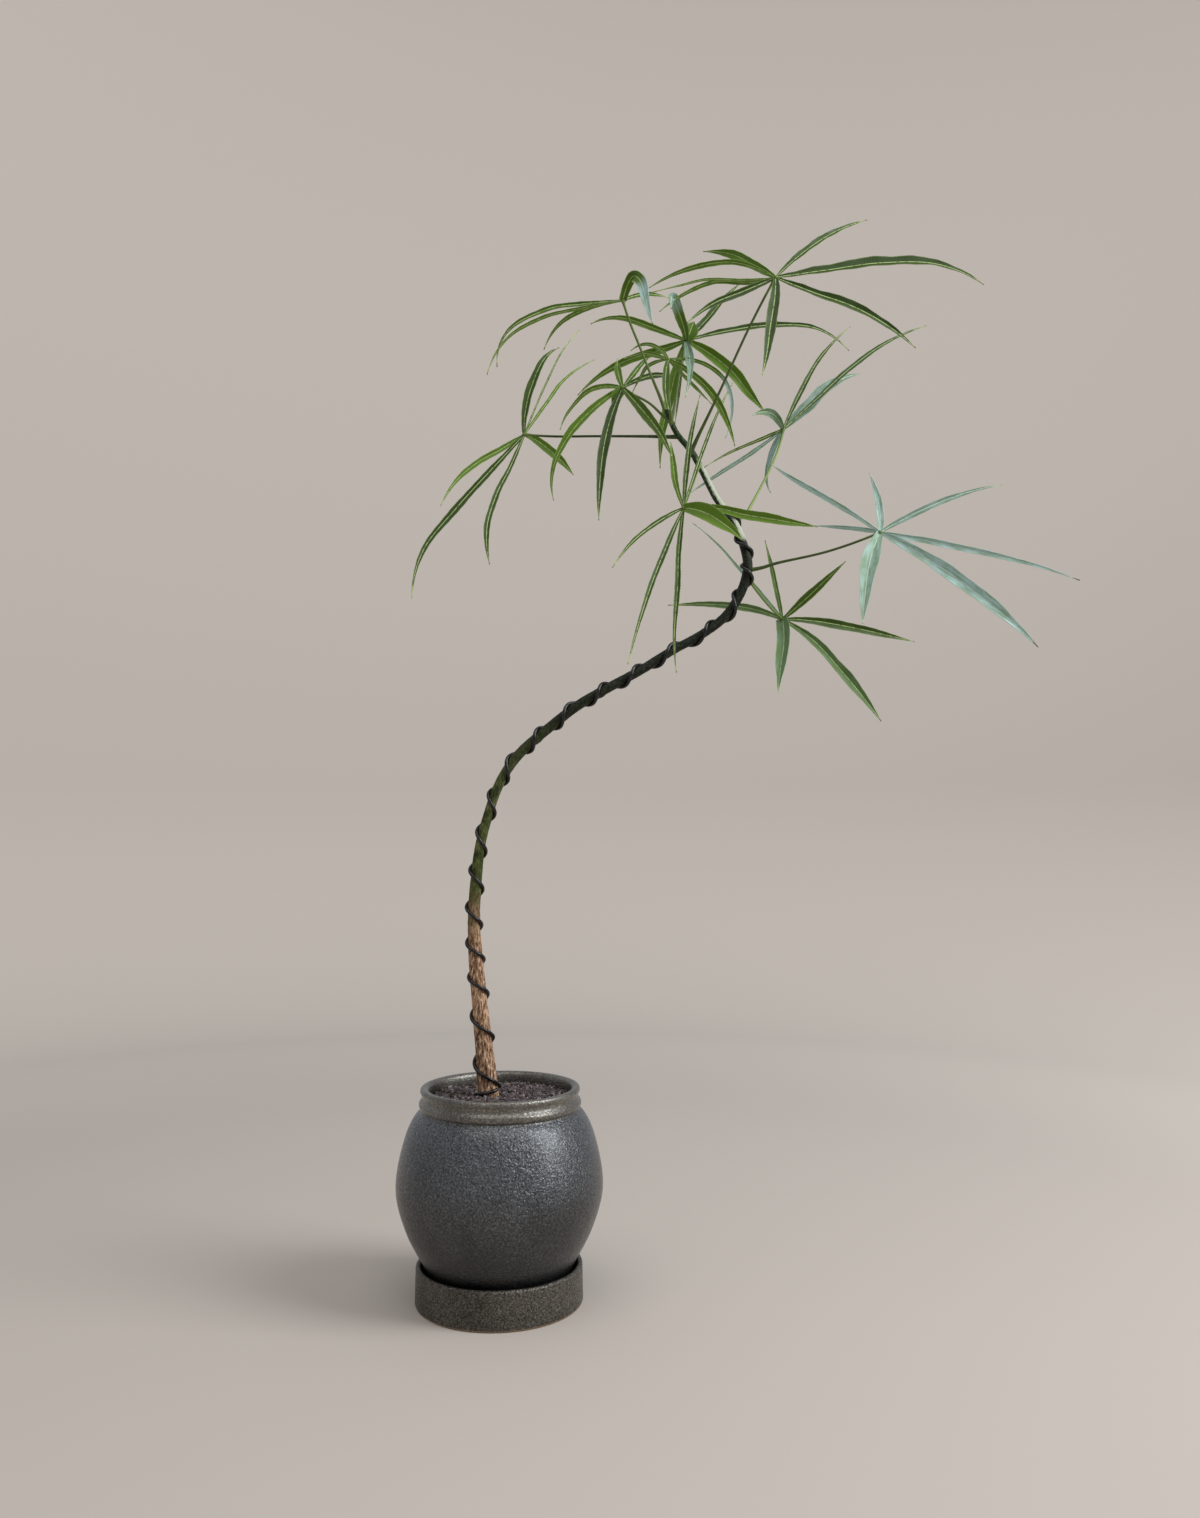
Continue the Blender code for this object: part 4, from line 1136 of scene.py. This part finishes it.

# %% [markdown]
# ## Where the leaves stand
# Ten leaves stand on long stalks near the trunk's tip. No two are alike, so they are listed one by
# one. Each entry holds how light the stalk is, its own tone and painted light together, the leaf's
# hub, the stalk's points and the lobes. A lobe is its greatest width, its roll in degrees about its
# midrib, the share of its length where it is widest, how broad its base is, how light it is (its
# own tone and painted light together), how much painted silvery sheen it carries, and then the
# points its midrib passes through, measured from the hub. Where the sheen is below nought, only
# the outer half of the lobe carries it.

# %% List the leaves
LEAVES = {
    "leaf_top_right": {
        "stalk_tone_and_painted_light": 0.25,
        "hub": (157, -45, 578),
        "stalk": ((112, 0, 493), (116, -5, 501), (121, -12, 510), (129, -22, 525), (143, -36, 553)),
        "lobes": (
            (4.5, -40, 0.45, 0.2, 0, 0, (19, 16, 23), (40, 34, 44), (63, 50, 60)),
            (7.5, -45, 0.48, 0.2, 0, 0, (30, 6, 7), (62, 12, 14), (96, 18, 16), (125, 25, 7)),
            (5.5, -30, 0.5, 0.2, 0, 0, (22, 4, -7), (44, 8, -13), (64, 12, -22), (82, 15, -35)),
            (6, 5, 0.38, 0.35, 0, 0, (-2, -10, -17), (-6, -20, -38), (-9, -30, -55), (-13, -40, -72)),
            (5.5, -15, 0.45, 0.25, 1, 0, (-12, 12, 14), (-23, 24, 26), (-38, 35, 33)),
            (3, -5, 0.5, 0.2, 1, 0, (-18, 6, 11), (-34, 9, 13), (-54, 14, 10), (-72, 20, 3)),
            (1.5, -5, 0.4, 0.4, 1, 0, (-16, 1, -1), (-38, 2, 0), (-54, 3, -3), (-70, 5, -6)),
            (2.5, -10, 0.5, 0.3, 1, 0, (-15, 2, -2), (-34, 5, 0), (-51, 7, -6), (-65, 10, -15)),
            (4, -5, 0.4, 0.3, 0, 0, (-18, -5, -10), (-36, -11, -20), (-51, -15, -33)),
        ),
    },
    "leaf_tip": {
        "stalk_tone_and_painted_light": 0.5,
        "hub": (71, -28, 573),
        "stalk": ((97, -1, 516), (93, -5, 525), (89, -9, 533), (81, -17, 550), (75, -24, 562)),
        "lobes": (
            (6, 10, 0.45, 0.7, 0.7, -0.9, (5, -12, 8), (10, -23, 0), (13, -29, -15), (16, -34, -29)),
            (3, 30, 0.45, 0.25, 0.36, 0, (-24, -2, -3), (-44, -4, -7), (-66, -5, -20), (-72, -7, -42)),
            (2, 5, 0.5, 0.25, 1, 0, (-21, 4, -2), (-46, 8, -6), (-68, 12, -17), (-80, 14, -38)),
            (2.5, 0, 0.5, 0.3, 1, 0, (-20, 12, 1), (-37, 25, -2), (-48, 38, -13)),
            (2.5, 10, 0.4, 0.4, 0.32, 0, (14, 26, 16), (29, 53, 26)),
        ),
    },
    "leaf_crown": {
        "stalk_tone_and_painted_light": 0.4,
        "hub": (110, 14, 567),
        "stalk": ((100, 0, 513), (102, 5, 521), (105, 10, 540)),
        "lobes": (
            (6, -5, 0.6, 0.3, 0.7, -0.6, (-3, -22, 0), (-10, -46, 5), (-12, -64, -9)),
            (5, -35, 0.3, 0.5, 0, 0, (13, 10, 17), (25, 20, 35), (38, 31, 52)),
            (4, 0, 0.4, 0.25, 1, 0, (-18, 6, 10), (-40, 12, 20), (-59, 21, 20)),
            (4, -30, 0.4, 0.25, 0, 0, (26, 7, 9), (52, 13, 15), (82, 19, 16), (105, 26, 4)),
            (7.5, -5, 0.5, 0.3, 1, 0, (14, 2, -7), (28, 3, -18), (38, 5, -30), (49, 6, -43)),
            (5, 0, 0.35, 0.3, 1, 0, (-18, 4, -5), (-36, 8, -9), (-53, 12, -17), (-67, 16, -28)),
            (5, 5, 0.3, 0.3, 0.52, 0.5, (1, -19, -20), (0, -34, -35), (-3, -44, -52)),
            (6, 5, 0.45, 0.2, 1, 0, (-6, 0, -18), (-11, 1, -40), (-15, 1, -58), (-16, 2, -79)),
            (1.5, 0, 0.5, 0.5, 0.24, 0, (-2, 6, -12), (-4, 13, -30), (-6, 21, -45)),
            (9, 0, 0.5, 0.6, 0.76, 0, (2, -1, 4), (3.5, -1, 8), (5, -1, 11.5)),
        ),
    },
    "leaf_young": {
        "stalk_tone_and_painted_light": 0.45,
        "hub": (98, -6, 547),
        "stalk": ((100, -1, 511), (99, -6, 518), (98, -8, 527), (97, -8, 537)),
        "lobes": (
            (2.5, -5, 0.35, 0.4, 1, 0, (-4, 3, 7), (-10, 7, 12), (-16, 12, 14), (-22, 16, 12)),
            (2.5, 0, 0.4, 0.4, 1, 0, (-9, 5, 5), (-15, 10, 8), (-21, 14, 8), (-27, 18, 8)),
            (2, 0, 0.4, 0.4, 1, 0, (-11, 6, -1), (-16, 11, -6), (-21, 16, -14)),
            (2.5, 5, 0.45, 0.3, 0.7, -0.9, (19, 4, 0), (34, 8, -9), (39, 10, -25), (35, 11, -44)),
            (4.5, 0, 0.5, 0.25, 1, 0, (19, 2, -12), (32, 4, -29), (40, 6, -51)),
            (2, 0, 0.4, 0.4, 1, 0, (7, 3, -6), (13, 6, -11), (20, 9, -17), (27, 12, -23)),
            (4.5, -15, 0.35, 0.35, 0.32, 0, (-2, -8, -20), (0, -16, -37)),
        ),
    },
    "leaf_inner_left": {
        "stalk_tone_and_painted_light": 0.4,
        "hub": (71, 2, 533),
        "stalk": ((101, -2, 509), (95, 0, 515), (87, 1, 523), (77, 2, 529)),
        "lobes": (
            (4, 0, 0.5, 0.4, 0.68, 0, (-2, 6, 9), (-3, 12, 17), (-3, 17, 25)),
            (3, 0, 0.4, 0.3, 0.56, 0, (6, 9, 11), (12, 18, 22), (19, 28, 33)),
            (3.5, 0, 0.5, 0.3, 0.08, 0, (13, 10, 10), (23, 21, 16), (37, 33, 19)),
            (3, 15, 0.28, 0.45, 1, 0, (-18, 2, 0), (-31, 6, -10), (-38, 8, -23)),
            (5, 25, 0.38, 0.3, 1, 0, (-17, -2, -13), (-31, -4, -29), (-41, -6, -50), (-41, -7, -71)),
            (6, 0, 0.42, 0.3, 0, 0, (-9, -7, -28), (-13, -14, -56), (-14, -22, -87)),
            (6, 0, 0.4, 0.35, 0.48, 0, (9, -9, -14), (17, -17, -27), (23, -26, -40), (28, -34, -54)),
            (7, 0, 0.5, 0.6, 1, 0, (-3, -1, -4.5), (-4.5, -1, -7), (-6.5, -1, -10)),
        ),
    },
    "leaf_far_left": {
        "stalk_tone_and_painted_light": 0.12,
        "hub": (11, 15, 509),
        "stalk": ((104, 0, 502), (97, 3, 503), (87, 5, 504), (57, 10, 506), (30, 13, 507)),
        "lobes": (
            (5.5, -20, 0.5, 0.3, 0.08, 0, (0, 6, 16), (3, 13, 34), (10, 19, 54), (20, 25, 65)),
            (1, 0, 0.5, 0.6, 0.14, 0, (6, 11, 21), (13, 22, 43), (21, 33, 65), (32, 45, 85)),
            (2, 0, 0.4, 0.35, 1, 0, (12, 12, 23), (24, 23, 44), (42, 35, 61)),
            (5.5, -10, 0.45, 0.3, 1, 0, (8, 7, -2), (16, 15, -6), (23, 22, -11), (29, 30, -16)),
            (3.5, 10, 0.38, 0.3, 1, 0, (-14, -5, -11), (-28, -10, -21), (-40, -15, -34), (-48, -20, -50)),
            (4, -5, 0.48, 0.3, 0, 0, (-20, -10, -26), (-40, -18, -52), (-57, -26, -78), (-62, -35, -108)),
            (3.5, -5, 0.68, 0.3, 0, 0, (-8, -10, -24), (-15, -21, -44), (-19, -33, -67), (-16, -45, -91)),
        ),
    },
    "leaf_right": {
        "stalk_tone_and_painted_light": 0.85,
        "hub": (171, 28, 516),
        "stalk": ((137, 1, 450), (144, 6, 456), (149, 10, 464), (164, 22, 494)),
        "lobes": (
            (3, -10, 0.35, 0.35, 0.02, 0, (12, 5, 26), (26, 11, 51), (46, 17, 73)),
            (7.5, -20, 0.38, 0.15, 0.16, 0.4, (17, 13, 19), (35, 27, 39), (57, 42, 52)),
            (3, -10, 0.45, 0.15, 0.03, 0.05, (21, 3, 20), (43, 6, 41), (67, 9, 59), (93, 12, 71)),
            (5, -10, 0.4, 0.4, 0.48, 0.3, (-9, -12, 6), (-22, -28, -1)),
            (2, 0, 0.22, 0.5, 0.05, 0, (-17, -2, -8), (-34, -4, -16), (-50, -6, -26)),
            (2.5, 5, 0.5, 0.4, 0.27, 0.55, (-19, 1, -14), (-39, 1, -27), (-59, 2, -40)),
            (4.5, 50, 0.35, 0.4, 1, 0.9, (-5, 6, -11), (-9, 11, -25), (-6, 17, -35)),
        ),
    },
    "leaf_low_middle": {
        "stalk_tone_and_painted_light": 0.6,
        "hub": (105, -38, 448),
        "stalk": ((117, 0, 484), (115, -9, 479), (111, -22, 466)),
        "lobes": (
            (9.5, -20, 0.38, 0.35, 1, 0, (12, -7, -5), (23, -13, -14), (31, -17, -23)),
            (5.5, -15, 0.58, 0.15, 1, 0, (19, -2, -1), (35, -3, -5), (55, -5, -9), (74, -7, -13)),
            (2.5, 15, 0.35, 0.35, 0.04, 0, (-15, -7, -10), (-29, -15, -23), (-40, -22, -39)),
            (3, 5, 0.35, 0.3, 0.01, 0, (-10, -9, -24), (-19, -18, -48), (-26, -28, -71), (-32, -37, -94)),
            (3, 0, 0.4, 0.4, 0.16, 0, (-3, -3, -25), (-4, -6, -47), (-6, -9, -74), (-5, -12, -95)),
            (3, -5, 0.4, 0.4, 0, 0, (2, 5, 23), (5, 11, 45), (11, 18, 72)),
            (2, -5, 0.4, 0.45, 0, 0, (7, 16, 23), (15, 32, 48), (25, 48, 75), (36, 64, 99)),
            (3.5, 0, 0.6, 0.35, 0.92, 0, (-4, 7, 16), (-5, 15, 30), (-6, 23, 46)),
        ),
    },
    "leaf_far_right": {
        "stalk_tone_and_painted_light": 0.2,
        "hub": (218, -25, 437),
        "stalk": ((144, 0, 421), (153, -2, 422), (163, -7, 424), (190, -18, 428)),
        "lobes": (
            (4, -20, 0.4, 0.5, 1, 0.9, (2, 7, 10), (3, 15, 21), (3, 23, 31), (1, 30, 44)),
            (3.5, -20, 0.35, 0.3, 0, 0.5, (17, 4, 10), (35, 8, 19), (55, 12, 27), (75, 15, 32)),
            (3.5, -5, 0.3, 0.35, 1, 0.9, (30, 2, -5), (59, 3, -11), (88, 4, -18), (115, 5, -27)),
            (7.5, -15, 0.5, 0.2, 1, 0.9, (22, -9, -16), (42, -18, -34), (60, -26, -52), (76, -35, -72)),
            (9, 20, 0.33, 0.35, 0.84, 0.65, (-8, -10, -18), (-13, -20, -37), (-17, -30, -58)),
            (3, 0, 0.6, 0.4, 1, 0.9, (-15, 4, 12), (-30, 8, 23), (-46, 12, 34), (-60, 15, 45)),
            (2.5, 5, 0.35, 0.5, 1, 0.9, (-10, 11, 5), (-24, 21, 9), (-32, 30, 12)),
        ),
    },
    "leaf_low_right": {
        "stalk_tone_and_painted_light": 0.6,
        "hub": (171, 40, 399),
        "stalk": ((144, 1, 421), (149, 12, 415), (160, 27, 406)),
        "lobes": (
            (3, 0, 0.4, 0.35, 0.84, 0.1, (-4, -7, 14), (-8, -13, 29), (-13, -20, 45)),
            (5, -25, 0.4, 0.2, 0.48, 0, (13, -6, 11), (24, -13, 21), (36, -20, 32)),
            (5.5, -15, 0.45, 0.2, 0.16, 0, (19, 5, 0), (43, 10, -3), (66, 15, -7), (87, 20, -11)),
            (6.5, -20, 0.6, 0.2, 0.52, 0.1, (18, -5, -14), (31, -10, -30), (45, -15, -49), (56, -20, -66)),
            (8.5, 30, 0.25, 0.75, 0.64, 0.2, (-1, -12, -16), (-5, -24, -35), (-8, -35, -50)),
            (4.5, 10, 0.35, 0.3, 0.6, 0.1, (-21, 4, 8), (-45, 7, 11), (-71, 10, 11)),
            (2, 0, 0.25, 0.5, 1, 0.5, (-13, 2, 17), (-26, 5, 33), (-39, 7, 49), (-55, 10, 64)),
        ),
    },
}
print("leaves:", len(LEAVES), "lobes:", sum(len(plan["lobes"]) for plan in LEAVES.values()))

# %% [markdown]
# ## One lobe
# A lobe starts as a flat grid, with a column for each half millimetre along it. Moving the grid's
# points gives the blade its outline, the V fold along its midrib, the forward teeth of its margin,
# a slight waviness and a thin tip. It is then given its real thickness. The teeth are in the mesh
# and not painted, because they break the outline that is seen against the light.

# %% Shape one lobe
LOBE_COLUMN = 0.55  # millimetres from one column of the grid to the next
LOBE_ROWS = 8
LOBE_THICKNESS = 0.28
LOBE_FOLD = 0.45  # how far an edge stands above the midrib, as a share of its half width
LOBE_FRONT = Vector((0, -0.93, -0.36)).normalized()  # an unrolled lobe's upper side faces this way
TIP_HALF_WIDTH = 0.17
TOOTH_LENGTH = 1.7
TOOTH_DEPTH = 0.26
WAVER = (0.07, 5.3)  # how much the width waxes and wanes, and over what length
RIPPLE = (0.22, 3.1)  # the same for the edge's rise and fall
ROW_SPACING = 1.25  # above 1, the grid's rows crowd towards the midrib
PAINTED_SHEEN_FROM = 0.45  # share of a lobe's length where a painted silvery sheen on the outer half begins


def lobe_outline(share, widest, base):
    """A lobe's half width at a share of its length, as a share of the greatest."""
    if share < widest:
        return base + (1 - base) * math.sin(math.pi / 2 * share / widest) ** 0.8
    return max(math.cos(math.pi / 2 * (share - widest) / (1 - widest)), 0.0)


def tooth(distance):
    """A forward-pointing tooth: it rises slowly towards the tip, then drops."""
    place = distance / TOOTH_LENGTH % 1.0
    rise = place / 0.75 if place < 0.75 else (1 - place) / 0.25
    return rise * (0.6 + 0.4 * math.sin(distance * 0.83))


def half_width(lobe, distance, share, start, phase):
    """Half a lobe's width at a distance along it, with its teeth and its waver."""
    width, _, widest, base, *_ = lobe
    half = lobe_outline(share, widest, base) * width / 2
    teeth = TOOTH_DEPTH * min(1.0, half / 1.2)
    half += (tooth(distance + start) - 0.4) * teeth
    half *= 1 + WAVER[0] * math.sin(distance / WAVER[1] + phase)
    return max(half, TIP_HALF_WIDTH)


def add_lobe(bm, tone_and_light_layer, half_layer, hub, lobe, rng):
    _, roll, _, _, painted_light_and_tone, painted_sheen, *points = lobe
    guess = distances(smooth_path([(0, 0, 0), *points], 8))[-1]
    columns = max(int(guess / LOBE_COLUMN), 24)
    path = evenly(smooth_path([(0, 0, 0), *points], 16), columns + 1)
    reach = distances(path)
    length = reach[-1]
    ways = headings(path)
    starts = [rng.uniform(0, TOOTH_LENGTH) for _ in range(2)]
    waves = [rng.uniform(0, math.tau) for _ in range(4)]
    before = set(bm.faces)
    for vert, column, row in grid_sheet(bm, columns, LOBE_ROWS):
        share = reach[column] / length
        across = (row / LOBE_ROWS) * 2 - 1
        across = math.copysign(abs(across) ** ROW_SPACING, across)
        way = ways[column]
        side = Matrix.Rotation(math.radians(roll), 3, way) @ way.cross(LOBE_FRONT).normalized()
        hand = 0 if across < 0 else 1
        half = half_width(lobe, reach[column], share, starts[hand], waves[hand])
        lift = LOBE_FOLD * half * abs(across) ** 1.15
        ripple = math.sin(reach[column] / RIPPLE[1] + waves[2 + hand])
        lift += RIPPLE[0] * across**2 * ripple * min(half / 2, 1)
        vert.co = hub + path[column] + half * across * side + lift * side.cross(way)
        # Each lobe's points carry its painted light and its painted silvery sheen.
        outer = min(max((share - PAINTED_SHEEN_FROM) / 0.12, 0), 1) if painted_sheen < 0 else 1
        vert[tone_and_light_layer] = (share, painted_light_and_tone, abs(painted_sheen) * outer, 1)
        vert[half_layer] = half
    made = [face for face in bm.faces if face not in before]
    uv_layer = bm.loops.layers.uv["UVMap"]
    for face in made:
        for loop in face.loops:
            loop[uv_layer].uv.x *= length / 100
    bmesh.ops.recalc_face_normals(bm, faces=made)
    middle = made[len(made) // 2]
    if middle.normal.dot(LOBE_FRONT) < 0:
        bmesh.ops.reverse_faces(bm, faces=made)
    solid = bmesh.ops.solidify(bm, geom=made, thickness=LOBE_THICKNESS)["geom"]
    for part in solid:
        if isinstance(part, bmesh.types.BMFace):
            part.material_index = 1


print("a tooth every", TOOTH_LENGTH, "mm,", TOOTH_DEPTH, "mm deep")

# %% [markdown]
# ## Leaves
# A leaf is a stalk, a small round hub and its lobes. They grew as one piece, so they share one
# mesh, with three materials for the upper side, the underside and the stalk. The stalk is a thin
# tube, thicker at its seat on the trunk. Each leaf draws its own random numbers, so a change to
# one of them leaves the others as they were.

# %% Grow the leaves
STALK_SIDES = 10
STALK_RADIUS = 0.72
STALK_BASE = 0.7  # how much thicker the stalk is where it meets the trunk
STALK_RINGS = 70
HUB_RADIUS = 1.35
HUB_GLOW = 14  # the stalk grows lighter over this distance from the hub


def stalk_radii():
    """The stalk's radius at each ring: it is thicker at its seat, and swells into the hub."""
    shares = [index / (STALK_RINGS - 1) for index in range(STALK_RINGS)]
    swells = [0.5 * max(0, (share - 0.93) / 0.07) ** 2 for share in shares]
    return [STALK_RADIUS + STALK_BASE * (1 - a) ** 6 + b for a, b in zip(shares, swells)]


def make_leaf(name, plan, number):
    rng = random.Random(500 + number)
    hub = Vector(plan["hub"])
    bm = new_bmesh()
    tone_and_light_layer = bm.verts.layers.float_color.new("tone_and_painted_light")
    half_layer = bm.verts.layers.float.new("half_width")
    for lobe in plan["lobes"]:
        add_lobe(bm, tone_and_light_layer, half_layer, hub, lobe, rng)
    path = evenly(smooth_path([*plan["stalk"], plan["hub"]], 12), STALK_RINGS)
    add_tube(bm, path, stalk_radii(), STALK_SIDES)
    bmesh.ops.create_icosphere(
        bm, subdivisions=2, radius=HUB_RADIUS, matrix=Matrix.Translation(hub)
    )
    # Only the lobes' points have been given a half width, so the rest belong to the stalk.
    # Each stalk's lightness is partly painted light: a sunlit stalk is given a lighter value.
    stalk_tone_and_painted_light = plan["stalk_tone_and_painted_light"]
    for face in bm.faces:
        if not any(vert[half_layer] for vert in face.verts):
            face.material_index = 2
    for vert in bm.verts:
        if not vert[half_layer]:
            near = max(0.0, 1 - (vert.co - hub).length / HUB_GLOW)
            vert[tone_and_light_layer] = (0, stalk_tone_and_painted_light + (0.6 - stalk_tone_and_painted_light) * near, 0, 1)
    leaf = finish_piece(f"{name}_blade", bm, leaf_top, name)
    leaf.data.set_sharp_from_angle(angle=math.radians(50))
    leaf.data.materials.append(leaf_under)
    leaf.data.materials.append(leaf_stalk)


for number, (name, plan) in enumerate(LEAVES.items()):
    make_leaf(name, plan, number)
